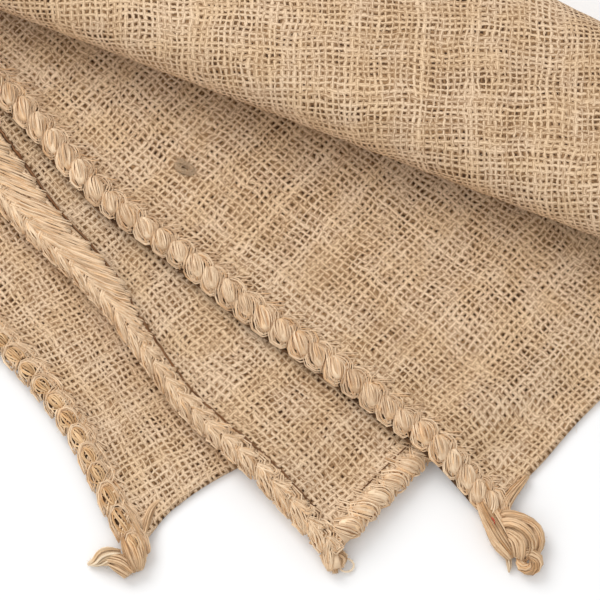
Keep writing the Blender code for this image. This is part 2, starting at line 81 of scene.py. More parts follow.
# Soft creases: the leaf, the two ends, half the width and the height
CREASE_ENDS = 0.4  # the share of a crease that keeps its height
CREASE_FADE = (0.0, -15 * MM)  # from the back fold
CREASES = (
    (EAST_MOUTH, (-150, 112), (-8, -20), 15, 1.5),
    (EAST_MOUTH, (-30, 42), (56, -52), 16, 1.3),
    (EAST_MOUTH, (40, 8), (128, -26), 20, 1),
    (EAST_BOTTOM, (-122, 34), (-40, -52), 12, 0.9),
    (WEST_MOUTH, (-124, -8), (-62, -78), 12, 0.9),
)

# The sewing
STITCH = 9.5 * MM
BULGE = 4.3 * MM
WAIST = 3.4 * MM
PRESSED = 1.15 * MM
PRESSED_STEP = 14 * MM
BEND_STEP = 5 * MM
SEAM_SIDES = 8
TURN_STEPS = 4
BOTTOM_ROUND = 10 * MM
BOTTOM_PRESSED = 90 * MM
ROUND_FROM = {EAST_MOUTH: 110 * MM, EAST_BOTTOM: 220 * MM, WEST_MOUTH: 250 * MM}
ROUNDING = 50 * MM
STILL_ROUND = PRESSED * 1.5

# The seam yarn's tails past the corners: length, turn from the seam and radius at the tip
TAILS = {
    EAST_MOUTH: (6.0 * MM, -45.0, 4.2 * MM),
    EAST_BOTTOM: (9.8 * MM, -29.0, 2.4 * MM),
    WEST_MOUTH: (5.0 * MM, -20.0, 4.4 * MM),
}

PLACE = np.array((75.3, -118.15, 0.0)) * MM

# Where the stack is pulled a little out of line: middle, reach, and how far, in millimetres
PULLS = (
    ((88, -94), 22, (-5, 0)),
    ((43, -55), 45, (-1.5, -2.5)),
    ((-25, 4), 50, (-3.5, -5)),
    ((-78, 50), 45, (-6, -9)),
    ((-127, 93), 45, (0, -1.5)),
    ((118, -60), 30, (-2.5, 2)),
    ((12, -108), 30, (1, -3)),
    ((-42, -48), 45, (-3, -5)),
    ((-96, 11), 45, (2.5, 0.5)),
    ((56, -67), 35, (-0.5, 1.5)),
    ((-74, -112), 30, (1.5, 2.5)),
    ((-100, -75), 40, (7.5, 8.5)),
    ((-129, -34), 45, (7, 5)),
    ((-33, -84), 35, (-2.5, 4.5)),
    ((88, -94), 12, (-2.5, 1)),
    ((-74, -112), 14, (3.5, -4)),
)

THREAD_EASE = 0.6  # how much of each pull slides the threads rather than crowding them

# How finely the cloth is modelled
CELL = 5.0 * MM
FINE_CELL = 2.4 * MM
FINE_STRIP = 22 * MM
FOLD_STEPS, OUTER_FOLD_STEPS = 5, 9
LEAF_INSET = BULGE * 0.35  # how far inside its seams the cloth ends


# ---- plane geometry

def heading(degrees):
    angle = math.radians(degrees)
    return np.array((math.cos(angle), math.sin(angle)))


def left_of(direction):
    return np.array((-direction[1], direction[0]))


def meeting(point, direction, other_point, other_direction):
    """Where two lines of the plan cross."""
    along = np.linalg.solve(np.column_stack((direction, -other_direction)), other_point - point)
    return point + direction * along[0]


def smooth(value, start, end):
    """0 at start, 1 at end, and an S between them."""
    t = np.clip((value - start) / (end - start), 0.0, 1.0)
    return t * t * (3.0 - 2.0 * t)


def rotated(direction, degrees):
    turn = heading(degrees)
    return np.array((direction @ (turn[0], -turn[1]), direction @ (turn[1], turn[0])))


class Leaf:
    """A quarter of the sack: its corner, its two outer edges and the two folds that meet at the centre."""

    def __init__(self, level, far_fold, side_fold, fold_centre):
        self.level = level
        along = heading(SEAM_ANGLE[level])
        across = -left_of(along)
        self.tuck = TUCK if level == WEST_BOTTOM else 0.0
        self.far_end = meeting(CENTRE - across * HALF_WIDTH, along, CENTRE, far_fold)
        self.side_end = meeting(CENTRE - along * HALF_LENGTH, across, fold_centre, side_fold)
        self.corner = CENTRE - along * (HALF_LENGTH - self.tuck) - across * (HALF_WIDTH - self.tuck)
        self.far_fold, self.side_fold, self.fold_centre = far_fold, side_fold, fold_centre
        self.seam_way = (self.far_end - self.corner) / norm(self.far_end - self.corner)
        self.edge_way = (self.side_end - self.corner) / norm(self.side_end - self.corner)
        self.sewn_bottom = level in (EAST_BOTTOM, WEST_BOTTOM)

    def outside_seam(self, plan):
        return (plan - self.corner) @ left_of(self.seam_way)

    def outside_edge(self, plan):
        return (plan - self.corner) @ -left_of(self.edge_way)


def mean_heading(level, other, turn):
    return heading((SEAM_ANGLE[level] + SEAM_ANGLE[other]) / 2 + turn)


def make_leaves():
    far_east = mean_heading(EAST_MOUTH, EAST_BOTTOM, 90)
    far_west = mean_heading(WEST_MOUTH, WEST_BOTTOM, 90)
    outer = mean_heading(EAST_MOUTH, WEST_MOUTH, 180)
    inner = mean_heading(EAST_BOTTOM, WEST_BOTTOM, 180)
    inner_centre = CENTRE - left_of(inner) * INNER_FOLD
    return {
        EAST_MOUTH: Leaf(EAST_MOUTH, far_east, outer, CENTRE),
        EAST_BOTTOM: Leaf(EAST_BOTTOM, far_east, inner, inner_centre),
        WEST_BOTTOM: Leaf(WEST_BOTTOM, far_west, inner, inner_centre),
        WEST_MOUTH: Leaf(WEST_MOUTH, far_west, outer, CENTRE),
    }


LEAVES = make_leaves()
BACK_OUT = left_of(heading(BACK_ANGLE))
FRONT_OUT = left_of(heading(FRONT_ANGLE))


def pulled(plan):
    """The plan with the stack's soft pulls on it."""
    moved = np.array(plan, float)
    for middle, reach, pull in PULLS:
        away = np.sum((plan - np.array(middle) * MM) ** 2, axis=-1) / (reach * MM) ** 2
        moved = moved + np.exp(-away)[..., None] * np.array(pull) * MM
    return moved


# ---- heights in the stack

def past_back_fold(plan):
    return (plan - BACK_POINT) @ BACK_OUT


def cover(leaf, plan):
    """1 where the leaf lies under the plan point, falling to 0 past its two outer edges."""
    outside = np.maximum(leaf.outside_seam(plan), leaf.outside_edge(plan))
    droop = smooth(outside, DROOP_START, DROOP_END)
    in_roll = smooth(past_back_fold(plan), *DROOP_FADE)
    return 1.0 - droop * (1.0 - in_roll)


def layers_below(level, plan):
    return sum(cover(LEAVES[lower], plan) for lower in range(level))


def creased(level, plan):
    """The height that soft creases add to a leaf, its own and those of the leaves below."""
    total = 0.0
    for crease_level, start, end, half_width, height in CREASES:
        if crease_level > level:
            continue
        start, end = np.array(start) * MM, np.array(end) * MM
        along = (end - start) / norm(end - start)
        middle = (start + end) / 2
        across = np.abs((plan - middle) @ left_of(along)) / (half_width * MM)
        lengthwise = np.abs((plan - middle) @ along) / norm(end - middle)
        total = total + height * MM * smooth(across, 1.0, 0.0) * smooth(lengthwise, 1.0, CREASE_ENDS)
    return total * smooth(past_back_fold(plan), *CREASE_FADE)


def bottom_ridge(plan):
    """The rise of the top leaf over the sewn bottom edge, near its corner."""
    leaf = LEAVES[EAST_BOTTOM]
    from_corner = (plan - leaf.corner) @ leaf.edge_way
    near = smooth(from_corner, RIDGE_LENGTH, RIDGE_FULL)
    return RIDGE * near * smooth(np.abs(leaf.outside_edge(plan)), RIDGE_WIDTH, RIDGE_TOP)


def pressed_from(level, place, pressed, round_place):
    """Half the height of sewing: round at one place along it and pressed between leaves from another."""
    if level == WEST_BOTTOM:
        return np.full_like(place, PRESSED)
    return PRESSED + (BULGE - PRESSED) * smooth(place, pressed, round_place)


def seam_thickness(level, to_end):
    round_from = ROUND_FROM.get(level, 0.0)
    return pressed_from(level, to_end, round_from - ROUNDING, round_from)


def bottom_thickness(level, from_corner):
    return pressed_from(level, from_corner, BOTTOM_PRESSED, BOTTOM_ROUND)


def sewing_height(level, plan, half):
    """The middle height of sewing: lying on the leaves below, or pressed in line with its own leaf."""
    below, crease = layers_below(level, plan), creased(level, plan)
    ridge = bottom_ridge(plan) if level == EAST_MOUTH else 0.0
    lying = PITCH * below - CLEARANCE * np.minimum(below, 1.0) + ridge + crease + half
    pressed = CLOTH / 2 + PITCH * below + crease
    height = pressed + (lying - pressed) * smooth(half, PRESSED, STILL_ROUND)
    return np.maximum(height, half)


def side_seam_height(level, plan):
    leaf = LEAVES[level]
    return sewing_height(level, plan, seam_thickness(level, (leaf.far_end - plan) @ leaf.seam_way))


def bottom_seam_height(level, plan):
    leaf = LEAVES[level]
    return sewing_height(level, plan, bottom_thickness(level, (plan - leaf.corner) @ leaf.edge_way))


def leaf_height(level, plan):
    """The middle height of a leaf: the leaves below it, its ridge and its rise to its own seam."""
    leaf = LEAVES[level]
    height = CLOTH / 2 + PITCH * layers_below(level, plan) + creased(level, plan)
    if level == EAST_MOUTH:
        height = height + bottom_ridge(plan)
    sewn = [(leaf.outside_edge, bottom_seam_height)] if leaf.sewn_bottom else []
    for outside, seam_height in sewn + [(leaf.outside_seam, side_seam_height)]:
        beside = smooth(-outside(plan), BULGE + SEAM_RISE, BULGE)
        height = height + (seam_height(level, plan) - height) * beside
    return height


# ---- the roll

def roll(points):
    """Carries points from stack space to where the rolled stack lies."""
    points = np.asarray(points, float)
    plan, height = pulled(points[:, :2]), points[:, 2].copy()
    past = past_back_fold(plan)
    turn = np.clip(past / BACK_RADIUS, 0.0, math.pi)
    beyond = np.maximum(past - math.pi * BACK_RADIUS, 0.0)
    reach = (BACK_RADIUS - height) * np.sin(turn) - beyond - np.maximum(past, 0.0)
    plan += BACK_OUT * reach[:, None]
    up = np.where(past > 0, BACK_RADIUS - (BACK_RADIUS - height) * np.cos(turn), height)

    turned_over = past >= math.pi * BACK_RADIUS
    past = np.where(turned_over, (FRONT_POINT - plan) @ FRONT_OUT, -1.0)
    turn = np.clip(past / FRONT_RADIUS, 0.0, math.pi)
    beyond = np.maximum(past - math.pi * FRONT_RADIUS, 0.0)
    reach = np.maximum(past, 0.0) - (FRONT_RADIUS - height) * np.sin(turn) + beyond
    plan += FRONT_OUT * reach[:, None]
    top = 2 * BACK_RADIUS - FRONT_RADIUS
    up = np.where(past > 0, top + (FRONT_RADIUS - height) * np.cos(turn), up)
    return np.column_stack((plan, np.maximum(up, 0.0))) + PLACE


# ---- the cloth

def places_along(length):
    """Places from one edge of a leaf to its fold: close together beside the edge."""
    fine = int(round(FINE_STRIP / FINE_CELL))
    rest = int(round((length - FINE_STRIP) / CELL))
    near = np.linspace(0.0, FINE_STRIP, fine, endpoint=False)
    return np.concatenate((near, np.linspace(FINE_STRIP, length, rest + 1))) / length


def leaf_plan(leaf):
    """The leaf's points in the plan, as rows from its edge to its far fold."""
    seam_out, edge_out = left_of(leaf.seam_way), -left_of(leaf.edge_way)
    seam_at = leaf.corner - seam_out * LEAF_INSET
    edge_at = leaf.corner - edge_out * (LEAF_INSET if leaf.sewn_bottom else 0.0)
    near = meeting(seam_at, leaf.seam_way, edge_at, leaf.edge_way)
    far = meeting(seam_at, leaf.seam_way, CENTRE, leaf.far_fold)
    side = meeting(edge_at, leaf.edge_way, leaf.fold_centre, leaf.side_fold)
    middle = meeting(leaf.fold_centre, leaf.side_fold, CENTRE, leaf.far_fold)
    up = places_along(HALF_LENGTH)[:, None, None]
    over = places_along(HALF_WIDTH)[None, :, None]
    return (near * (1 - up) + far * up) * (1 - over) + (side * (1 - up) + middle * up) * over


def cut_place(leaf, plan):
    """Where points of a leaf lie on the cloth as it was cut, with its threads eased along the pulls."""
    from_corner = plan + THREAD_EASE * (pulled(plan) - plan) - leaf.corner
    along = from_corner @ leaf.seam_way + leaf.tuck
    across = from_corner @ leaf.edge_way + leaf.tuck
    if leaf.level in (WEST_BOTTOM, WEST_MOUTH):
        across = 2 * HALF_WIDTH + math.pi * PITCH * (0.5 if leaf.level == WEST_BOTTOM else 1.5) - across
    if leaf.sewn_bottom:
        along = 2 * HALF_LENGTH + math.pi * PITCH / 2 - along
    return np.stack((across, along), axis=-1)


def add_grid(mesh, uv_layer, points, uvs):
    """Adds a net of quads through a rows x columns array of vertices."""
    rows, columns = len(points), len(points[0])
    for row in range(rows - 1):
        for column in range(columns - 1):
            spots = ((row, column), (row, column + 1), (row + 1, column + 1), (row + 1, column))
            face = mesh.faces.new([points[r][c] for r, c in spots])
            for loop, (r, c) in zip(face.loops, spots):
                loop[uv_layer].uv = uvs[r][c]


def join_fold(mesh, uv_layer, top, bottom, top_uv, bottom_uv, outward, steps):
    """A half round of cloth between the edges of two leaves."""
    rows, uv_rows = [], []
    for upper, lower, upper_uv, lower_uv in zip(top, bottom, top_uv, bottom_uv):
        row, uv_row = [upper], [upper_uv]
        high, low = np.array(upper.co), np.array(lower.co)
        radius = (high[2] - low[2]) / 2
        for step in range(1, steps):
            share = step / steps
            angle = math.pi * share
            middle = high * (1 - share) + low * share
            middle[:2] += outward * radius * math.sin(angle)
            middle[2] = (high[2] + low[2]) / 2 + radius * math.cos(angle)
            row.append(mesh.verts.new(middle))
            uv_row.append(upper_uv * (1 - share) + lower_uv * share)
        rows.append(row + [lower])
        uv_rows.append(uv_row + [lower_uv])
    add_grid(mesh, uv_layer, rows, uv_rows)


def folded_sheet():
    """The middle surface of the whole cloth, folded in four in stack space."""
    mesh = bmesh.new()
    uv_layer = mesh.loops.layers.uv.new("Weave")
    nets, cuts = {}, {}
    for level, leaf in LEAVES.items():
        plan = leaf_plan(leaf)
        height = leaf_height(level, plan)
        nets[level] = [[mesh.verts.new((*p, h)) for p, h in zip(*row)] for row in zip(plan, height)]
        cuts[level] = cut_place(leaf, plan)
        add_grid(mesh, uv_layer, nets[level], cuts[level])
    far = {level: (nets[level][-1], cuts[level][-1]) for level in LEAVES}
    side = {level: ([row[-1] for row in nets[level]], cuts[level][:, -1]) for level in LEAVES}
    east, west = LEAVES[EAST_MOUTH], LEAVES[WEST_MOUTH]
    inner = LEAVES[EAST_BOTTOM]
    for edges, upper, lower, outward, steps in (
        (far, EAST_MOUTH, EAST_BOTTOM, -left_of(east.far_fold), FOLD_STEPS),
        (far, WEST_BOTTOM, WEST_MOUTH, -left_of(west.far_fold), FOLD_STEPS),
        (side, EAST_BOTTOM, WEST_BOTTOM, left_of(inner.side_fold), FOLD_STEPS),
        (side, EAST_MOUTH, WEST_MOUTH, left_of(east.side_fold), OUTER_FOLD_STEPS),
    ):
        (top, top_uv), (bottom, bottom_uv) = edges[upper], edges[lower]
        join_fold(mesh, uv_layer, top, bottom, top_uv, bottom_uv, outward, steps)
    bmesh.ops.recalc_face_normals(mesh, faces=mesh.faces[:])
    return mesh


def new_piece(name, mesh, looks):
    data = bpy.data.meshes.new(name)
    mesh.to_mesh(data)
    mesh.free()
    for look in looks:
        data.materials.append(look)
    piece = bpy.data.objects.new(name, data)
    bpy.context.scene.collection.objects.link(piece)
    for face in data.polygons:
        face.use_smooth = True
    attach(piece, "root")
    return piece


def carry_into_roll(piece):
    """Moves a piece's points from stack space into the roll."""
    data = piece.data
    points = np.empty(len(data.vertices) * 3)
    data.vertices.foreach_get("co", points)
    data.vertices.foreach_set("co", roll(points.reshape(-1, 3)).ravel())
    data.update()


def only(piece):
    for other in bpy.context.selected_objects:
        other.select_set(False)
    piece.select_set(True)
    bpy.context.view_layer.objects.active = piece


def build_cloth(look):
    piece = new_piece("woven_cloth", folded_sheet(), [look])
    thickness = piece.modifiers.new("Thickness", "SOLIDIFY")
    thickness.thickness = CLOTH
    thickness.offset = 0.0
    thickness.use_even_offset = True
    only(piece)
    bpy.ops.object.modifier_apply(modifier="Thickness")
    carry_into_roll(piece)
    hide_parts("sack_cloth")
    return piece


# ---- the lines of the seams

def stations(length, thickness, bends_from=None):
    """Places along a seam: two to a stitch where it is round, fewer where it is pressed."""
    place, places = 0.0, []
    while place < length - STITCH / 4:
        places.append(place)
        is_round = thickness(np.array(place)) > STILL_ROUND
        bends = bends_from is not None and place > bends_from
        place += STITCH / 2 if is_round else BEND_STEP if bends else PRESSED_STEP
    return places + [length]


def section(plan, height, across, up, half_width, half_height):
    """One section of a seam: its middle, its two directions and its half sizes."""
    return np.array((*plan, height)), np.array((*across, 0.0)), np.array(up, float), half_width, half_height


def sewn_sections(level, way, across, start, places, thickness):
    """The sections of a seam at places along its leaf's edge."""
    sections = []
    for place in places:
        plan = LEAVES[level].corner + way * (start + place)
        thick = thickness(np.array(place))
        height = float(sewing_height(level, plan, thick))
        sections.append(section(plan, height, across, (0, 0, 1), BULGE, float(thick)))
    return sections


def side_sections(level):
    """A side seam from its corner to the far fold, with its tail first."""
    leaf = LEAVES[level]
    length = norm(leaf.far_end - leaf.corner)
    sections = []
    tail, turn, tip = TAILS.get(level, (0.0, 0.0, WAIST))
    start = max(-tail, CLEARANCE)
    tail_way = rotated(-leaf.seam_way, turn)
    tail_across = -left_of(tail_way)
    for out in np.linspace(tail, STITCH / 4, 4) if tail > 0 else ():
        half = tip + (WAIST - tip) * (1 - out / tail)
        plan = leaf.corner + tail_way * out
        height = sewing_height(level, leaf.corner, np.array(half))
        sections.append(section(plan, float(height), tail_across, (0, 0, 1), half, half))

    def thickness(place):
        return seam_thickness(level, length - start - place)

    across = left_of(leaf.seam_way)
    places = stations(length - start, thickness)
    return sections + sewn_sections(level, leaf.seam_way, across, start, places, thickness)


def bottom_sections(level):
    """The bottom seam of a leaf, from beside its side seam to the inner fold."""
    leaf = LEAVES[level]
    start = 2 * CLEARANCE + BULGE
    length = norm(leaf.side_end - leaf.corner) - start
    rolled_from = -past_back_fold(leaf.corner) / (leaf.edge_way @ BACK_OUT) - start - BEND_STEP

    def thickness(place):
        return bottom_thickness(level, start + place)

    places = stations(length, thickness, rolled_from)
    return sewn_sections(level, leaf.edge_way, -left_of(leaf.edge_way), start, places, thickness)


def round_fold(sections, following, outward):
    """Joins two pressed seams, one above the other, by a half round at the fold they share."""
    (x, y, top), across, _, wide, half = sections[-1]
    bottom = following[-1][0][2]
    radius, middle = (top - bottom) / 2, (top + bottom) / 2
    turned = []
    for step in range(1, TURN_STEPS):
        angle = math.pi * step / TURN_STEPS
        side = outward * radius * math.sin(angle)
        up = (*(outward * math.sin(angle)), math.cos(angle))
        place = np.array((x, y)) + side
        turned.append(section(place, middle + radius * math.cos(angle), across[:2], up, wide, half))
    back = []
    for place, other_across, up, other_wide, other_half in reversed(following):
        facing = np.sign(other_across[:2] @ across[:2])
        back.append((place, facing * other_across, -up, other_wide, other_half))
    return sections + turned + back


# ---- strands

# The looks of the yarns, by their number in every piece of yarn
# The dark yarn is painted shade in the seams' cores and under their outer sides, and the last yarn is a
# painted shadow line
JUTE, DARK, GOLD, PALE, KNOT, RED, SHADOW_LINE = range(7)

STRAND_ROUND = 0.004  # how much of the yarn pattern goes once round a strand
STRAND_SEEDS = 9.0  # each strand starts somewhere in this length of the pattern
STEEP = 0.05  # under this a path counts as upright


def strand_mesh():
    mesh = bmesh.new()
    return mesh, mesh.loops.layers.uv.new("Strand")


def distances(points):
    """How far each point lies along the path through them."""
    return np.concatenate(((0.0,), np.cumsum(norm(np.diff(points, axis=0), axis=1))))


def around(sides):
    return 2 * math.pi * np.arange(sides) / sides


def square_to(path):
    """The directions sideways and upwards at each point of a path, square to it."""
    ways = np.gradient(path, axis=0)
    ways /= np.maximum(norm(ways, axis=1), 1e-12)[:, None]
    side = np.cross(ways, (0.0, 0.0, 1.0))
    side[norm(side, axis=1) < STEEP] = (1.0, 0.0, 0.0)
    side /= norm(side, axis=1)[:, None]
    for index in range(1, len(path)):
        if side[index] @ side[index - 1] < 0:
            side[index] = -side[index]
    return side, np.cross(side, ways)


def skin(mesh, uv_layer, rings, corner_uv, yarn_at):
    """A tube through rings of vertices, closed at its ends."""
    sides = len(rings[0])
    for index in range(len(rings) - 1):
        for turn in range(sides):
            spots = ((index, turn), (index + 1, turn), (index + 1, turn + 1), (index, turn + 1))
            face = mesh.faces.new([rings[ring][spot % sides] for ring, spot in spots])
            face.material_index = yarn_at(index)
            for loop, spot in zip(face.loops, spots):
                loop[uv_layer].uv = corner_uv(*spot)
    last = len(rings) - 1
    for index, ring in ((0, rings[0][::-1]), (last, rings[last])):
        face = mesh.faces.new(ring)
        face.material_index = yarn_at(index)
        for loop in face.loops:
            loop[uv_layer].uv = corner_uv(index, 0)


def sweep(mesh, uv_layer, path, radius, sides, seed, yarn=JUTE):
    """A strand: a round tube along a path of points already in place."""
    path = np.asarray(path, float)
    radius = np.broadcast_to(radius, len(path))
    side, up = square_to(path)
    along, angles = distances(path), around(sides)
    rings = []
    for index, middle in enumerate(path):
        ring = middle + radius[index] * (
            np.cos(angles)[:, None] * side[index] + np.sin(angles)[:, None] * up[index])
        rings.append([mesh.verts.new(point) for point in ring])
    skin(mesh, uv_layer, rings, lambda ring, spot: (along[ring], seed + spot / sides * STRAND_ROUND),
         lambda ring: yarn)


def eased(knots, count):
    """A smooth run of rows through a few rows of numbers."""
    knots = np.asarray(knots, float)
    ends = np.vstack((2 * knots[0] - knots[1], knots, 2 * knots[-1] - knots[-2]))
    at = np.linspace(0.0, len(knots) - 1, count)
    index = np.minimum(at.astype(int), len(knots) - 2)
    t = (at - index)[:, None]
    a, b, c, d = (ends[index + shift] for shift in range(4))
    return 0.5 * (2 * b + (c - a) * t + (2 * a - 5 * b + 4 * c - d) * t ** 2
                  + (3 * b - a - 3 * c + d) * t ** 3)


def strand_piece(name, mesh, looks):
    bmesh.ops.recalc_face_normals(mesh, faces=mesh.faces[:])
    return new_piece(name, mesh, looks)


# ---- the seams

# Past the corner the strands draw together: over what length, to what share, and how fast they go on
CORNER_TAPER = 9 * MM
DRAWN_TO = 0.2
DRAWN_ON = 0.6

INNER_SIDE = 0.6  # past this share of its half width a seam's strands may lie on the leaf


class SeamLine:
    """The middle of a seam, read at any distance along it."""

    def __init__(self, sections, level=None):
        self.level = level
        self.middles, self.acrosses, self.ups, self.wides, self.highs = (
            np.array(column) for column in zip(*sections))
        self.at = distances(self.middles)
        self.length = self.at[-1]

    def read(self, values, along):
        if values.ndim == 1:
            return np.interp(along, self.at, values)
        return np.stack([np.interp(along, self.at, column) for column in values.T], axis=-1)

    def ring(self, along, angles, out):
        """Points of stack space round one place of the seam."""
        middle, across, up = (self.read(v, along) for v in (self.middles, self.acrosses, self.ups))
        wide, high = self.read(self.wides, along) * out, self.read(self.highs, along) * out
        return middle + across * (wide * np.cos(angles))[:, None] + up * (high * np.sin(angles))[:, None]

    def surface(self, along, across, lift, side):
        """Points on the seam's top (side 1) or underside (-1), and on the leaf beside it."""
        past = np.minimum(along, 0.0)
        across = across * np.clip(1.0 + past / CORNER_TAPER, DRAWN_TO, 1.0)
        middle, way = self.read(self.middles, along), self.read(self.acrosses, along)
        wide, high = self.read(self.wides, along), self.read(self.highs, along)
        across = across * np.minimum(wide / WAIST, 1.0)
        onward = (self.middles[1] - self.middles[0]) / self.at[1]
        plan = middle[:, :2] + way[:, :2] * across[:, None] + onward[:2] * (DRAWN_ON * past)[:, None]
        share = np.clip(across / wide, -1.0, 1.0)
        height = middle[:, 2] + side * high * np.sqrt(1.0 - share ** 2)
        leaf = leaf_height(self.level, plan) + side * CLOTH / 2
        inner = across < -INNER_SIDE * wide
        height = np.where(inner, side * np.maximum(side * height, side * leaf), height)
        return np.column_stack((plan, height + side * lift))


def seam_parts():
    """Each seam as its two runs, one on each leaf, and the way out at the fold between them."""
    east, west, inner = LEAVES[EAST_MOUTH], LEAVES[WEST_MOUTH], LEAVES[EAST_BOTTOM]
    return {
        "seam_east": (side_sections, EAST_MOUTH, EAST_BOTTOM, -left_of(east.far_fold)),
        "seam_west": (side_sections, WEST_BOTTOM, WEST_MOUTH, -left_of(west.far_fold)),
        "seam_bottom": (bottom_sections, EAST_BOTTOM, WEST_BOTTOM, left_of(inner.side_fold)),
    }


# The stitches, drawn flat in millimetres: each bundle has its number of strands, the steps along each,
# their radius, how far it stands up in its middle, its yarn, and rows of (along the seam, across it, half
# the bundle's width)
BED = (6, 5, 0.50, 0.1, JUTE, ((9.2, -6.0, 2.4), (7.2, -2.4, 3.4), (4.8, 1.4, 3.4), (3.4, 3.9, 2.2)))
BOBBLES = (
    BED,
    (1, 7, 3.5, -2.4, JUTE, ((4.2, -3.4, 0), (0.1, -0.1, 0), (-4.2, 3.1, 0))),
    (16, 9, 0.35, 2.7, JUTE, ((4.6, -3.6, 1.7), (3.2, -2.2, 3.5), (0.3, -0.2, 4.5), (-2.8, 1.9, 3.7),
        (-4.4, 3.2, 1.8))),
    (4, 7, 0.43, 1.1, JUTE, ((5, -2, 0.7), (3.6, 2.2, 1), (0.6, 5, 1.1), (-2.8, 5.3, 1),
        (-5.2, 3.6, 0.8))),
    (5, 7, 0.40, 0.6, JUTE, ((5, -4.6, 0.8), (1.4, -5.8, 1.6), (-2.8, -4.6, 1.7), (-5.4, -0.6, 1))),
    (4, 5, 0.33, 0.2, JUTE, ((3, -4.8, 2), (0, -7, 2.4), (-3.2, -9.6, 2.6))),
)
OVALS = (
    BED,
    (8, 7, 0.45, 1.2, GOLD, ((4, 1.4, 1), (2, 1.2, 2.7), (-1.2, 0.8, 3), (-4.2, 0.4, 1.3))),
    (4, 9, 0.42, 0.8, JUTE, ((-4.6, 4.9, 0.9), (-1, 4.7, 1), (2.8, 4.2, 1), (5.2, 1.2, 1), (3.8, -2.2, 1),
        (0.2, -3.6, 1.1), (-4.4, -3.2, 1.1))),
    (5, 6, 0.40, 0.4, JUTE, ((5.4, -3.4, 1), (1.4, -4.6, 1.5), (-2.6, -5.2, 1.6), (-6, -5, 1.4))),
    (4, 5, 0.33, 0.2, JUTE, ((4.2, -4, 1.6), (1, -5.8, 2.2), (-2.6, -7.8, 2.4))),
)
CHEVRONS = (
    BED,
    (12, 8, 0.36, 1.4, JUTE, ((5.8, 0, 0.9), (2.2, 1.6, 2.2), (-2.4, 3.3, 2.3), (-6.4, 4.7, 1))),
    (16, 11, 0.35, 0.9, JUTE, ((7.2, -0.6, 1), (1.6, -3.4, 2.5), (-5.2, -7.8, 3.2), (-12, -12.6, 3))),
)
SCALLOPS = (
    BED,
    (1, 7, 3, -2.4, JUTE, ((-3, -3.6, 0), (0, 0.2, 0), (1.6, 3.6, 0))),
    (13, 9, 0.43, 1.3, JUTE, ((-3.6, -5.6, 2.4), (-2, -2.8, 4), (0.4, 0.6, 4.5), (1.8, 3.4, 3.8),
        (1.6, 5.2, 1.8))),
    (5, 5, 0.34, 0.3, JUTE, ((-2.6, -4.4, 2.2), (-4.2, -7.2, 2.6), (-5.6, -10.4, 2.6))),
)
PLAIN = (
    (6, 5, 0.56, 0.1, JUTE, ((-3, -6, 2.6), (-1.2, -2.4, 3.9), (1.2, 2, 3.9), (3, 4.3, 2.4))),
)
VISIBLE = {
    ("seam_east", EAST_MOUTH): BOBBLES,
    ("seam_east", EAST_BOTTOM): CHEVRONS,
    ("seam_west", WEST_MOUTH): OVALS,
    ("seam_bottom", EAST_BOTTOM): SCALLOPS,
}

# The yarn inside each seam, before and past its turn at the fold; where it is dark it is painted shade,
# seen in the gaps between the stitches
CORES = {"seam_east": (DARK, GOLD), "seam_west": (DARK, DARK), "seam_bottom": (GOLD, GOLD)}
CORE_SHARE = 0.90
CORE_STEP = 5 * MM
CORNER_END = 14 * MM  # so near an end the inside is pale, and no fine strands fan out
BESIDE = (4.7 * MM, 1.2 * MM)  # the dark strand of painted shadow beside a seam: how far out, and how far down
BESIDE_RADIUS = 0.9 * MM
BESIDE_INSET, BESIDE_STEP = 8 * MM, 4 * MM

# How uneven the strands are: each pair is the least and the most, in millimetres where it is a length
LEAN = (-0.5, 0.5)  # of a whole stitch, for each LEAN_WIDTH across it
LEAN_WIDTH = 5 * MM
STITCH_SIZES = (0.9, 1.08)
STITCH_SHIFT = (-0.06, 0.06)
SIDEWAYS = (-0.14, 0.14)  # in the bundle, as a share of its half width
LENGTHWISE = (-0.4, 0.4)
UPWARDS = (-0.15, 0.2)
THICKNESSES = (0.75, 1.15)
WAVES = ((0.05, 0.4), (4.0, 9.0))  # half a wave's width, and how far it turns along the strand
FEATHER_WAVES = ((0.1, 0.45), (9.0, 16.0))

FINE_STRAND = 0.35
FILLER = 1.0  # thicker strands fill a stitch from within
SUNK = 0.4  # how far over the seam a strand's middle lies, in radii
PAST_CORNER = 0.8 * CORNER_TAPER  # how far strands may run past the corner
FANNED_FROM = 3.5 * MM  # where a stitch starts to reach out over the turned-in edge
FAN = (1.35, 1.0)  # how it reaches, along and across
STITCH_EDGE = 5.6 * MM

# The turned-in edge of the cloth beside the middle leaf's seam: places along the seam, and its width there
HEM_FROM, HEM_STEP = 22 * MM, 3 * MM
HEM_WIDTH = ((0, 1), (22, 3), (100, 4), (140, 6.5), (160, 12.5), (180, 15.8), (235, 17))
HEM_ACROSS = 3.0 * MM  # where it starts, under the stitches
HEM_UNEVEN = (-0.3, 0.3)
HEM_RISE = 1.1 * MM
HEM_RISE_FROM = (2.4 * MM, 4.2 * MM)  # where the stitches climb it
HEM_SIDES = 10
HEM_ROUND = 1.8  # how squarely its edges turn down
HEM_STITCHES = (2.8 * MM, 9.1 * MM)  # the width that the stitches leave free, and at which they are drawn
# A dark strand of painted shadow along the hem's edge, and a thinner one beside the bottom seam
SHADOW_LINE_RADIUS = 0.6 * MM
SHADOW_LINE_PLACE = (3.3 * MM, 0.4 * MM)  # past the hem's edge, and over the leaf
SHADOW_LINE_UNEVEN = (0.7, 1.25)
BOTTOM_SHADOW_LINE = (20.0, 110.0, -7.0)  # from and to along the bottom seam, and how far across it
BOTTOM_SHADOW_LINE_LIFT = 0.2 * MM
HEM_SHADOW_LOOK = 1  # the look of the painted shadow line among the hem's own


def hem_width(place):
    return np.interp(place, *np.array(HEM_WIDTH).T * MM)


def waves(t, kind, rng):
    """The sideways waves of a strand, in millimetres."""
    width, turns = kind
    return rng.uniform(*width) * np.sin(rng.uniform(*turns) * t + rng.uniform(0.0, 6.0))


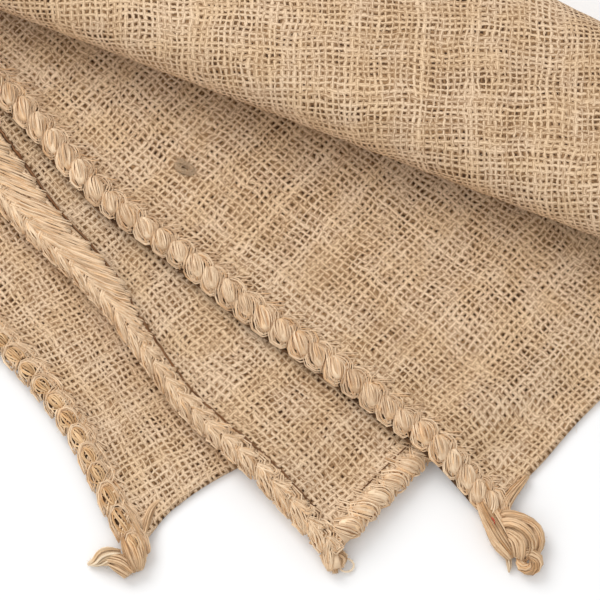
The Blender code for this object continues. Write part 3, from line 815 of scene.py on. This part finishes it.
def bundle(mesh, uv_layer, line, place, run, kind, side, feathers, rng):
    """The strands of one bundle of a stitch, side by side along a run."""
    strands, steps, radius, rise, yarn = kind
    ways = np.gradient(run[:, :2], axis=0)
    ways /= norm(ways, axis=1)[:, None]
    t = np.linspace(0.0, 1.0, steps)
    bow = np.sin(math.pi * t)
    filler = radius >= FILLER
    taper = 0.35 + 0.65 * bow if filler else 0.7 + 0.3 * bow
    for strand in range(strands):
        share = (strand - (strands - 1) / 2) / max((strands - 1) / 2, 1.0)
        share += rng.uniform(*SIDEWAYS)
        aside = share * run[:, 2]
        along = place + run[:, 0] - ways[:, 1] * aside + rng.uniform(*LENGTHWISE) * MM
        wave = waves(t, WAVES, rng)
        if feathers:
            wave = wave + waves(t, FEATHER_WAVES, rng)
        across = run[:, 1] + ways[:, 0] * aside + wave * MM
        lift = (radius * SUNK + rise * (1 - share ** 2) * bow + rng.uniform(*UPWARDS)) * MM
        if feathers:
            lift = lift + HEM_RISE * smooth(-across, *HEM_RISE_FROM)
        across = np.minimum(across, STITCH_EDGE)
        points = line.surface(np.clip(along, -PAST_CORNER, line.length), across, lift, side)
        width = radius * MM * taper * (1.0 if filler else rng.uniform(*THICKNESSES))
        points[:, 2] = np.maximum(points[:, 2], width)
        sides = 5 if steps > 6 else 4
        sweep(mesh, uv_layer, roll(points), width, sides, rng.uniform(0.0, STRAND_SEEDS), yarn)


def stitch(mesh, uv_layer, line, place, pattern, side, reach, rng):
    """One stitch of a pattern, on one side of the seam; reach is how far its inner strands run out."""
    lean, size = rng.uniform(*LEAN) * MM, rng.uniform(*STITCH_SIZES)
    for *kind, rows in pattern:
        strands, steps, radius = kind[:3]
        if radius < FINE_STRAND and place < CORNER_END:
            continue
        run = eased(rows, steps) * MM
        run[:, 0] = run[:, 0] * size + lean * run[:, 1] / LEAN_WIDTH
        run[:, :2] += np.minimum(run[:, 1:2] + FANNED_FROM, 0.0) * np.array((FAN,)) * (reach - 1)
        bundle(mesh, uv_layer, line, place, run, kind, side, pattern is CHEVRONS, rng)


def core(mesh, uv_layer, line, turn, yarns):
    """The yarn inside a seam, under its strands; pale at its ends and its turn, where it shows."""
    places = np.unique(np.concatenate((line.at, np.arange(0.0, line.length, CORE_STEP))))
    angles = around(SEAM_SIDES)
    rings = []
    for place in places:
        points = line.ring(np.full(SEAM_SIDES, place), angles, CORE_SHARE)
        rings.append([mesh.verts.new(point) for point in roll(points)])

    # Away from the ends and the turn the core takes the seam's own yarns; where these are dark they are
    # painted shade, seen between the stitches
    def yarn_at(index):
        place = places[index]
        bare = min(place, line.length - place, abs(place - turn))
        return yarns[int(place > turn)] if bare > CORNER_END else JUTE

    skin(mesh, uv_layer, rings, lambda ring, spot: (places[ring], 0.0), yarn_at)


def shade_outer_edge(mesh, uv_layer, line):
    """A dark strand low on the outer side, seen between the stitches: painted shadow under the seam's outer
    edge.
    """
    places = np.arange(BESIDE_INSET, line.length - BESIDE_INSET, BESIDE_STEP)
    points = line.surface(places, np.full(len(places), BESIDE[0]), BESIDE[1], -1)
    sweep(mesh, uv_layer, roll(points), BESIDE_RADIUS, 6, 0.0, DARK)


def build_run(name, node, line, pattern, looks, middle=None):
    """The stitches of a seam on one leaf, with the yarn inside the whole seam where it is given."""
    mesh, uv_layer = strand_mesh()
    rng = random.Random(name)
    if middle:
        core(mesh, uv_layer, middle, line.length, CORES[node])
    if pattern is BOBBLES:
        shade_outer_edge(mesh, uv_layer, line)
    place = STITCH * 0.6
    while place < line.length - STITCH / 2:
        shift = rng.uniform(*STITCH_SHIFT) * STITCH
        reach = (hem_width(place) - HEM_STITCHES[0]) / HEM_STITCHES[1] if pattern is CHEVRONS else 1.0
        stitch(mesh, uv_layer, line, place + shift, pattern, 1, reach, rng)
        stitch(mesh, uv_layer, line, place + shift, PLAIN, -1, 1.0, rng)
        place += STITCH
    piece = strand_piece(name, mesh, looks)
    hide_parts(node)
    return piece


def build_seam(node, sections, first_level, second_level, outward, looks):
    first, second = sections(first_level), sections(second_level)
    middle = SeamLine(round_fold(first, second, outward))
    patterns = [VISIBLE.get((node, level), PLAIN) for level in (first_level, second_level)]
    return [
        build_run(node + "_yarn", node, SeamLine(first, first_level), patterns[0], looks, middle),
        build_run(node + "_yarn_return", node, SeamLine(second, second_level), patterns[1], looks),
    ]


def paint_shadow_line(mesh, uv_layer, points, radius, rng):
    """A dark line of painted shadow where an edge of cloth lies on the leaf."""
    width = radius * np.array([rng.uniform(*SHADOW_LINE_UNEVEN) for _ in points])
    sweep(mesh, uv_layer, roll(points), width, 5, 0.0, HEM_SHADOW_LOOK)


def bottom_shadow_line_points(bottom, corner):
    """The line of the painted shadow beside the bottom seam, from its corner."""
    start, stop, across = BOTTOM_SHADOW_LINE
    places = np.arange(start, stop, 3.0) * MM
    from_corner = [norm(middle[:2] - corner) for middle in bottom.middles]
    if from_corner[0] > from_corner[-1]:
        places = bottom.length - places
    return bottom.surface(places, np.full(len(places), across * MM), BOTTOM_SHADOW_LINE_LIFT, 1)


def build_hem(line, bottom, cloth_look, shadow_line_look):
    """A flat strip of cloth on the leaf, with a dark line of painted shadow along its inner edge."""
    mesh = bmesh.new()
    layers = mesh.loops.layers.uv
    layers.new("Weave")
    layers.new("Strand")
    weave_layer, uv_layer = layers["Weave"], layers["Strand"]
    leaf = LEAVES[line.level]
    rng = random.Random("hem")
    angles = around(HEM_SIDES)
    rings, uvs, edge = [], [], []
    for place in np.arange(HEM_FROM, line.length - 4 * MM, HEM_STEP):
        width = hem_width(place) + rng.uniform(*HEM_UNEVEN) * MM
        across = -HEM_ACROSS - width * (0.5 - 0.5 * np.cos(angles))
        lift = HEM_RISE * np.clip(HEM_ROUND * np.sin(angles), 0.05, 1.0)
        points = line.surface(np.full(HEM_SIDES, place), across, lift, 1)
        uvs.append(cut_place(leaf, points[:, :2]) + 0.5 * WEAVE_PITCH)
        rings.append([mesh.verts.new(point) for point in roll(points)])
        past, over = SHADOW_LINE_PLACE
        edge.extend(line.surface(np.array((place,)), np.array((-past - width,)), np.array((over,)), 1))
    skin(mesh, weave_layer, rings, lambda ring, spot: uvs[ring][spot % HEM_SIDES], lambda ring: 0)
    paint_shadow_line(mesh, uv_layer, edge, SHADOW_LINE_RADIUS, rng)
    paint_shadow_line(mesh, uv_layer, bottom_shadow_line_points(bottom, leaf.corner), SHADOW_LINE_RADIUS / 2, rng)
    bmesh.ops.recalc_face_normals(mesh, faces=mesh.faces[:])
    return new_piece("hem_cloth", mesh, [cloth_look, shadow_line_look])


# ---- the knots

# The knots, as short ropes: strands, their radius, turns of twist, their yarn, and rows of
# (x, y, height, radius) in the stack, in millimetres
EAST_ROPES = (
    (26, 0.55, 0.20, KNOT, ((82, -85.5, 5, 3.2), (85.2, -93, 5.2, 4.4), (86.8, -101, 5.2, 4.6),
        (87.6, -109, 4.6, 4.4), (90, -115.2, 3.4, 2.2))),
    (26, 0.52, 0.35, KNOT, ((90, -100.8, 5, 2.4), (94.2, -104, 6.6, 4.6), (95.4, -109.4, 6.2, 5),
        (92.4, -115.6, 4.4, 3))),
    (17, 0.48, 0.40, KNOT, ((88.6, -98.6, 5.4, 1.6), (94.4, -98.6, 6.6, 2.3), (100.4, -102.2, 5.4, 2.7),
        (101, -108.6, 4.6, 2.7), (97.6, -114.6, 4, 2))),
    (15, 0.46, 1.1, KNOT, ((92.6, -114.6, 4.4, 2.2), (96.4, -113, 6.4, 2.4), (99.4, -116.4, 5.2, 2.5),
        (97.4, -120, 4.2, 2.4), (93.6, -119.2, 4.2, 2.2), (93.4, -115.8, 4.6, 1.8))),
    (6, 0.36, 0.20, PALE, ((88.8, -112.6, 3.4, 1.5), (88.6, -116.8, 2, 1), (88, -120.6, 0.9, 0.2))),
    (11, 0.42, 0.05, KNOT, ((99.5, -80.5, 3.2, 1), (95.4, -87.6, 3.6, 1.9), (92.2, -95, 4.2, 2.3),
        (90, -103.5, 4.8, 1.6))),
    (2, 0.15, 0.30, RED, ((86.3, -100.2, 10, 0.2), (86.9, -101.6, 10.2, 0.5), (86.5, -103, 9.9, 0.2))),
)
WEST_ROPES = (
    (26, 0.52, 0.15, KNOT, ((-79, -102, 4.6, 3.4), (-76.2, -110, 4.8, 4.6), (-73.4, -117, 4.6, 4.4),
        (-71.4, -122, 3.8, 2.6))),
    (18, 0.48, 0.25, KNOT, ((-84.4, -117.2, 4.4, 2.4), (-79.6, -119.6, 5, 3.4), (-74.6, -124, 3.6, 2.2))),
    (18, 0.44, 0.20, PALE, ((-80.2, -116.4, 4.4, 2.6), (-85.2, -117.4, 4.2, 3.6), (-88.6, -119.4, 2.4, 2),
        (-91.4, -120.6, 1.4, 0.5))),
    (11, 0.42, 0.05, KNOT, ((-58, -92.8, 0.9, 0.5), (-64.6, -97.6, 1.7, 1.4), (-69.4, -103.8, 3.2, 2),
        (-72.6, -110.5, 4.2, 1.6))),
)
TIP_ROPES = (
    (20, 0.40, 0.45, KNOT, ((7.8, -99.6, 4.4, 2.4), (11.2, -106.6, 4.2, 2.9), (13.2, -112.4, 3.2, 2.3),
        (14.2, -118.6, 1.8, 0.9))),
    (12, 0.34, 0.8, KNOT, ((12, -111.4, 3.6, 1.4), (15.6, -109.8, 4.4, 1.7), (17.4, -112.8, 3.4, 1.6),
        (14.8, -115.8, 3.2, 1.2))),
    (1, 0.42, 0, PALE, ((16.4, -112.6, 3.4, 0.02), (20, -112.6, 2.4, 0.02), (21.8, -115, 1.4, 0.02),
        (20.2, -117.4, 1.2, 0.02), (17.2, -117.4, 1.6, 0.02), (15.4, -115.4, 2.6, 0.02))),
)

# Two short dark strands on the top leaf, with pale strands bowed apart beside them: heights are over the
# leaf
SLUB_ROPES = (
    (2, 0.26, 0.3, DARK, ((-47.4, 64, 0, 0.2), (-46.6, 63.5, 0.2, 0.4), (-45.6, 62.9, 0, 0.2))),
    (3, 0.30, 0.5, JUTE, ((-50.6, 66.6, 0.1, 0.3), (-47.2, 65.6, 0.5, 0.5), (-44.2, 63.8, 0.5, 0.5),
        (-42, 61.2, 0.1, 0.3))),
    (3, 0.30, 0.5, JUTE, ((-50, 65, 0.1, 0.3), (-48.2, 62.4, 0.5, 0.5), (-45, 60.8, 0.5, 0.4),
        (-41.4, 60.6, 0.1, 0.3))),
)

ROPE_STEPS = 12
ROPE_ANGLES = (-0.15, 0.15)  # how far a strand strays round its rope
ROPE_SPREAD = (-0.05, 0.08)  # and in and out
ROPE_THICKNESSES = (0.8, 1.15)


def rope(mesh, uv_layer, strands, radius, twist, yarn, rows, rng):
    """A short thick rope: strands laid round a core of the same yarn."""
    run = eased(rows, ROPE_STEPS) * MM
    middle, wide = run[:, :3], run[:, 3]
    side, up = square_to(middle)
    if strands > 1:
        sweep(mesh, uv_layer, roll(middle), np.maximum(wide - radius * MM, 0.1 * MM), 8, 0.0, yarn)
    t = np.linspace(0.0, 1.0, len(run))
    for strand in range(strands):
        angle = 2 * math.pi * (strand / strands + twist * t) + rng.uniform(*ROPE_ANGLES)
        out = wide * (1 + rng.uniform(*ROPE_SPREAD)) - radius * SUNK * MM
        points = middle + side * (out * np.cos(angle))[:, None] + up * (out * np.sin(angle))[:, None]
        points[:, 2] = np.maximum(points[:, 2], radius * MM)
        width = radius * MM * rng.uniform(*ROPE_THICKNESSES) * (0.75 + 0.25 * np.sin(math.pi * t))
        sweep(mesh, uv_layer, roll(points), width, 6, rng.uniform(0.0, STRAND_SEEDS), yarn)


def build_knot(name, ropes, looks, node=None):
    mesh, uv_layer = strand_mesh()
    rng = random.Random(name)
    for strands, radius, twist, yarn, rows in ropes:
        rope(mesh, uv_layer, strands, radius, twist, yarn, rows, rng)
    piece = strand_piece(name + "_yarn", mesh, looks)
    if node:
        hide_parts(node)
    return piece


def laid_on_top(ropes):
    """Ropes whose heights were given over the top leaf, with their real heights."""
    laid = []
    for *kind, rows in ropes:
        heights = [leaf_height(EAST_MOUTH, np.array(row[:2]) * MM) / MM + CLOTH / MM / 2 for row in rows]
        laid.append((*kind, [(x, y, z + float(h), r) for (x, y, z, r), h in zip(rows, heights)]))
    return laid


# ---- loose fibres

# How many fibres, and the longest, on the cloth and on each piece of yarn
CLOTH_FUZZ = (3400, 9.0)
YARN_FUZZ = (320, 4.5)
SHORTEST = 0.28  # as a share of the longest
FIBRE_RADIUS = 0.05 * MM
FIBRE_BEND = (-0.9, 0.9)
FIBRE_LIFT = (0.1, 0.5)
FIBRE_GAP = 0.15 * MM


def fibre(mesh, uv_layer, root, normal, length, rng):
    """One curved fibre over the place root."""
    way = np.cross(normal, (rng.uniform(-1, 1), rng.uniform(-1, 1), rng.uniform(-1, 1)))
    way /= max(norm(way), 1e-6)
    other = np.cross(normal, way)
    bend, lift = rng.uniform(*FIBRE_BEND), rng.uniform(*FIBRE_LIFT)
    t = np.linspace(0.0, 1.0, 5)
    points = (root + way * (length * (t - 0.5))[:, None]
              + other * (length * bend * t * (1 - t))[:, None]
              + normal * (FIBRE_GAP + length * lift * t * (1 - t))[:, None])
    points[:, 2] = np.maximum(points[:, 2], FIBRE_RADIUS)
    sweep(mesh, uv_layer, points, FIBRE_RADIUS, 3, rng.uniform(0.0, STRAND_SEEDS))


def build_fibres(cloth, yarns, look):
    """Fine fibres standing off the cloth and the yarns, spread evenly over them."""
    mesh, uv_layer = strand_mesh()
    rng = random.Random("fibres")
    for piece, (count, longest) in [(cloth, CLOTH_FUZZ)] + [(yarn, YARN_FUZZ) for yarn in yarns]:
        faces = piece.data.polygons
        areas = np.cumsum([face.area for face in faces])
        for _ in range(count):
            face = faces[int(np.searchsorted(areas, rng.random() * areas[-1]))]
            length = rng.uniform(SHORTEST, 1.0) * longest * MM
            fibre(mesh, uv_layer, np.array(face.center), np.array(face.normal), length, rng)
    return new_piece("loose_fibres", mesh, [look])


# ---- materials

def ordinary(operation):
    """An operator of ordinary sums, as a Math node."""
    return lambda self, other: self.math(operation, other)


class Value:
    """A number that a material works out, used in ordinary sums."""

    def __init__(self, look, socket):
        self.look, self.socket = look, socket

    def math(self, operation, *others):
        return self.look.math(operation, self, *others)

    def __rsub__(self, other):
        return self.look.math("SUBTRACT", other, self)

    def __abs__(self):
        return self.math("ABSOLUTE")

    __add__ = __radd__ = ordinary("ADD")
    __mul__ = __rmul__ = ordinary("MULTIPLY")
    __sub__ = ordinary("SUBTRACT")
    __truediv__ = ordinary("DIVIDE")
    __lt__ = ordinary("LESS_THAN")
    __gt__ = ordinary("GREATER_THAN")


class Look:
    """A material under construction."""

    def __init__(self, name, roughness):
        self.material = bpy.data.materials.new(name)
        self.material.use_nodes = True
        self.tree = self.material.node_tree
        self.shader = self.tree.nodes["Principled BSDF"]
        self.shader.inputs["Roughness"].default_value = roughness
        self.shader.inputs["Specular IOR Level"].default_value = 0.25

    def node(self, kind, settings, inputs, output=0):
        made = self.tree.nodes.new(kind)
        for name, value in settings.items():
            setattr(made, name, value)
        for name, value in inputs.items():
            if isinstance(value, Value):
                self.tree.links.new(value.socket, made.inputs[name])
            else:
                made.inputs[name].default_value = value
        return Value(self, made.outputs[output])

    def math(self, operation, *values):
        return self.node("ShaderNodeMath", {"operation": operation}, dict(enumerate(values)))

    def feed(self, name, value):
        self.tree.links.new(value.socket, self.shader.inputs[name])

    def uv(self, layer):
        """A UV map, whole and as its two parts."""
        whole = self.node("ShaderNodeUVMap", {"uv_map": layer}, {})
        outputs = self.node("ShaderNodeSeparateXYZ", {}, {"Vector": whole}).socket.node.outputs
        return whole, Value(self, outputs[0]), Value(self, outputs[1])

    def vector(self, x, y):
        return self.node("ShaderNodeCombineXYZ", {}, {"X": x, "Y": y})

    def noise(self, vector, scale=1.0, detail=2.0):
        """Soft noise, as much below nought as above it."""
        sizes = {"Vector": vector, "Scale": scale, "Detail": detail}
        return self.node("ShaderNodeTexNoise", {"noise_dimensions": "2D"}, sizes) - 0.5

    def chance(self, number):
        """Chance from -0.5 to 0.5, the same for the same number."""
        return self.node("ShaderNodeTexWhiteNoise", {"noise_dimensions": "1D"}, {"W": number}) - 0.5

    def mix(self, share, first, second):
        return self.node("ShaderNodeMix", {"data_type": "RGBA"}, {0: share, 6: first, 7: second}, 2)

    def bump(self, height, distance, strength):
        inputs = {"Height": height, "Distance": distance, "Strength": strength}
        self.feed("Normal", self.node("ShaderNodeBump", {}, inputs))


def step_up(value, low, high):
    """0 below low, 1 above high, and a soft step between."""
    settings = {"interpolation_type": "SMOOTHSTEP"}
    inputs = {"Value": value, "From Min": low, "From Max": high}
    return value.look.node("ShaderNodeMapRange", settings, inputs)


# The weave: sizes are in thread spacings, noise scales in waves a metre
WEAVE_PITCH = 2.7 * MM
WARP_SEED, WEFT_SEED = 3.0, 57.0
STRAY, STRAY_SCALES = 1.8, (34.0, 37.0)  # how far threads stray together, for warp and for weft
SHAKE, SHAKE_SCALES = 0.55, (130.0, 125.0)  # and how far they shake
PLUMPNESS, PLUMP_SCALE = 0.30, 95.0
HALF_WIDTHS = (0.315, 0.13, 0.34)  # half a thread: the mean, by thread, and along it
OFF_MIDDLE = (0.22, 0.35)  # out of its place: by thread, and along it
THREAD_TONE_AND_PAINTED_LIGHT = (0.27, 0.40, 1.1, 0.30, 0.14)  # tone: the least, the painted highlight along the ridge, fibres, by thread, and roundness, which paints shade toward a thread's sides
# How far from a thread's middle its painted highlight is full, and where it has faded
RIDGE_HIGHLIGHT_EDGES = (0.02, 0.13)
THREAD_RISE, OVER_UNDER = 0.7, 0.12

# The panel below, seen through the holes
BELOW = (1.31 * MM, 1.73 * MM)
BELOW_SEED = 11.0

# Colours from dark to light
PALE_JUTE = ((0.34, 0.20, 0.106, 1), (0.80, 0.598, 0.405, 1))
GOLDEN_JUTE = ((0.32, 0.180, 0.085, 1), (0.775, 0.56, 0.355, 1))
# Painted shade: the panel below, seen through the holes, is a darker copy of the cloth, and darkest where
# no thread of it lies behind a hole
PAINTED_SHADE_BELOW = ((0.105, 0.050, 0.019, 1), (0.34, 0.195, 0.092, 1))
PAINTED_HOLE_SHADE = (0.055, 0.025, 0.010, 1)
WARMER = (1.0, 0.89, 0.76, 1.0)

YARN_COLOURS = (
    ("jute yarn", (0.55, 0.36, 0.210, 1), (0.96, 0.74, 0.51, 1)),
    # dark yarn: painted shade in the seams' cores and under their outer sides, and the slub's dark strands
    ("shaded yarn", (0.045, 0.020, 0.008, 1), (0.15, 0.076, 0.032, 1)),
    ("golden yarn", (0.44, 0.25, 0.112, 1), (0.86, 0.60, 0.345, 1)),
    ("pale fibre", (0.55, 0.38, 0.22, 1), (0.92, 0.76, 0.56, 1)),
    ("knot yarn", (0.36, 0.205, 0.098, 1), (0.84, 0.60, 0.375, 1)),
    ("red fibre", (0.42, 0.045, 0.025, 1), (0.70, 0.16, 0.09, 1)),
    # painted shadow along the hem's edge and beside the bottom seam
    ("painted shadow line", (0.085, 0.036, 0.014, 1), (0.26, 0.125, 0.055, 1)),
)


def thread_set(look, across, along, plump, seed):
    """One set of parallel threads of uneven place and thickness: number, roundness, cover and tone."""
    number = across.math("FLOOR")
    own, width = look.chance(number * 1.7 + seed + 31.0), look.chance(number + seed)
    lengthwise = look.noise(look.vector(number * 7.3 + seed, along * 0.25), 1.0, 3.0)
    by_thread, by_place = OFF_MIDDLE
    off_middle = across - number - 0.5 + by_thread * look.chance(number * 2.3 + seed + 5.0)
    off_middle = off_middle + by_place * look.noise(look.vector(across * 0.9, along * 1.3))
    mean, by_thread, by_place = HALF_WIDTHS
    share = abs(off_middle) / (mean + by_thread * width + by_place * lengthwise + plump)
    roundness = (1 - share * share).math("MAXIMUM", 0.0).math("SQRT")
    fibres = look.noise(look.vector(across * 7.5, along * 0.5), 1.0, 3.0)
    # A painted highlight runs along the middle of each thread, and its roundness paints shade toward its
    # sides
    ridge = 1 - step_up(abs(off_middle + 0.5 * lengthwise), *RIDGE_HIGHLIGHT_EDGES)
    least, *shares = THREAD_TONE_AND_PAINTED_LIGHT
    tone = least + sum(part * share for part, share in zip((ridge, fibres, own, roundness), shares))
    return number, roundness, share < 1.0, tone


def weave(look, uv, u, v, seed):
    """Height, cover and tone of a plain weave of uneven threads."""
    plump = PLUMPNESS * look.noise(uv, PLUMP_SCALE + seed, 3.0)
    x, y = (
        place / WEAVE_PITCH + STRAY * look.noise(uv, stray + turned * seed)
        + SHAKE * look.noise(uv, shake + turned * seed, 1.0)
        for place, stray, shake, turned in zip((u, v), STRAY_SCALES, SHAKE_SCALES, (1, -1)))
    warp, warp_round, in_warp, warp_tone = thread_set(look, x, y, plump, WARP_SEED + seed)
    weft, weft_round, in_weft, weft_tone = thread_set(look, y, x, plump, WEFT_SEED + seed)
    odd = (warp + weft).math("PINGPONG", 1.0)
    over = OVER_UNDER * abs((y * math.pi).math("SINE") * (x * math.pi).math("SINE")) * (1 - 2 * odd)
    warp_height = (warp_round * THREAD_RISE + over) * in_warp - (1 - in_warp)
    weft_height = (weft_round * THREAD_RISE - over) * in_weft - (1 - in_weft)
    on_top = warp_height > weft_height
    tone = warp_tone * on_top + weft_tone * (1 - on_top)
    return warp_height.math("MAXIMUM", weft_height), in_warp.math("MAXIMUM", in_weft), tone


def cloth_look():
    look = Look("jute weave", 0.9)
    uv, u, v = look.uv("Weave")
    height, thread, tone = weave(look, uv, u, v, 0.0)
    low_u, low_v = u + BELOW[0], v + BELOW[1]
    _, low_thread, low_tone = weave(look, look.vector(low_u, low_v), low_u, low_v, BELOW_SEED)
    broad, frizz = look.noise(uv, 16.0, 3.0), look.noise(uv, 1000.0)
    # The threads' tone holds their painted highlights and the painted shade at their sides
    tone = step_up(tone + 0.16 * broad + 0.8 * frizz, -0.07, 0.90)
    patches = step_up(look.noise(uv, 52.0, 3.0), -0.12, 0.12)
    bright = look.mix(patches, look.mix(tone, *GOLDEN_JUTE), look.mix(tone, *PALE_JUTE))
    # The holes show the panel below in painted shade, and in deeper painted shade where it is open too
    shade_below = look.mix(step_up(low_tone + 0.8 * look.noise(uv, 60.0), 0.1, 1.0), *PAINTED_SHADE_BELOW)
    look.feed("Base Color", look.mix(thread, look.mix(low_thread, PAINTED_HOLE_SHADE, shade_below), bright))
    look.bump(height.math("MAXIMUM", -0.5) + 0.5 * tone, 0.40 * MM, 0.7)
    return look.material


def yarn_look(name, low, high):
    look = Look(name, 0.85)
    _, u, v = look.uv("Strand")
    fibres = look.noise(look.vector(u * 90.0, v * 1800.0), 1.0, 3.0)
    along = look.noise(look.vector(u * 160.0, v * 40.0))
    own = look.chance((v * 3.0).math("FLOOR"))
    tone = step_up(1.1 * fibres + 0.7 * along + 0.5 * own + 0.575, 0.1, 1.0)
    warm = [[part * share for part, share in zip(colour, WARMER)] for colour in (low, high)]
    patches = step_up(look.noise(look.vector(u * 60.0, v * 2.0)), 0.0, 0.18)
    look.feed("Base Color", look.mix(patches, look.mix(tone, low, high), look.mix(tone, *warm)))
    look.bump(fibres, 0.25 * MM, 0.8)
    return look.material


# ---- the setting

FLOOR_SIZE, FLOOR_DROP = 6.0, 0.3 * MM
FLOOR_COLOUR = (0.9, 0.9, 0.9, 1)
SKY = 0.85

# The lamps: place, where they point, size and power
LAMPS = {
    "key": ((-0.8, 0.80, 1.35), (0.0, -0.1, 0.0), 1.3, 16.0),
    "fill": ((-1.0, -0.9, 1.1), (-0.05, -0.15, 0.0), 0.8, 2.2),
}

VIEW_DISTANCE = 1.2
VIEW_WIDTH = 0.258
VIEW_ELEVATION = 70.0
SENSOR = 36.0


def build_floor():
    bpy.ops.mesh.primitive_plane_add(size=FLOOR_SIZE, location=(0.0, 0.0, -FLOOR_DROP))
    floor = bpy.context.active_object
    floor.name = "floor"
    look = Look("pale floor", 0.8)
    look.shader.inputs["Base Color"].default_value = FLOOR_COLOUR
    floor.data.materials.append(look.material)


def set_up(name, data):
    """An object of the scene that is no part of the sack."""
    made = bpy.data.objects.new(name, data)
    bpy.context.scene.collection.objects.link(made)
    return made


def build_lamp(name, place, aim, size, power):
    data = bpy.data.lights.new(name, "AREA")
    data.shape = "DISK"
    data.size = size
    data.energy = power
    lamp = set_up(name, data)
    lamp.location = place
    lamp.rotation_euler = Vector(np.array(aim) - np.array(place)).to_track_quat("-Z", "Y").to_euler()


def build_light():
    world = bpy.data.worlds.new("soft studio")
    bpy.context.scene.world = world
    world.use_nodes = True
    background = world.node_tree.nodes["Background"]
    background.inputs["Color"].default_value = (1.0, 1.0, 1.0, 1)
    background.inputs["Strength"].default_value = SKY
    for name, lamp in LAMPS.items():
        build_lamp(name, *lamp)
    bpy.context.scene.view_settings.view_transform = "Standard"


def build_camera():
    data = bpy.data.cameras.new("camera")
    data.sensor_width = SENSOR
    data.lens = SENSOR * VIEW_DISTANCE / VIEW_WIDTH
    camera = set_up("camera", data)
    elevation = math.radians(VIEW_ELEVATION)
    back = np.array((0.0, -math.cos(elevation), math.sin(elevation))) * VIEW_DISTANCE
    camera.location = PLACE + back
    camera.rotation_euler = (math.pi / 2 - elevation, 0.0, 0.0)
    bpy.context.scene.camera = camera


def main():
    build_camera()
    build_light()
    build_floor()
    weave_material = cloth_look()
    cloth = build_cloth(weave_material)
    looks = [yarn_look(*colours) for colours in YARN_COLOURS]
    trim = [piece for node, parts in seam_parts().items() for piece in build_seam(node, *parts, looks)]
    middle_side = SeamLine(side_sections(EAST_BOTTOM), EAST_BOTTOM)
    middle_bottom = SeamLine(bottom_sections(EAST_BOTTOM), EAST_BOTTOM)
    trim.append(build_hem(middle_side, middle_bottom, weave_material, looks[SHADOW_LINE]))
    trim.append(build_knot("knot_east", EAST_ROPES, looks, "knot_east"))
    trim.append(build_knot("knot_west", WEST_ROPES, looks, "knot_west"))
    trim.append(build_knot("corner_tip", TIP_ROPES, looks))
    trim.append(build_knot("slub", laid_on_top(SLUB_ROPES), looks))
    trim.append(build_fibres(cloth, list(trim), looks[PALE]))


main()
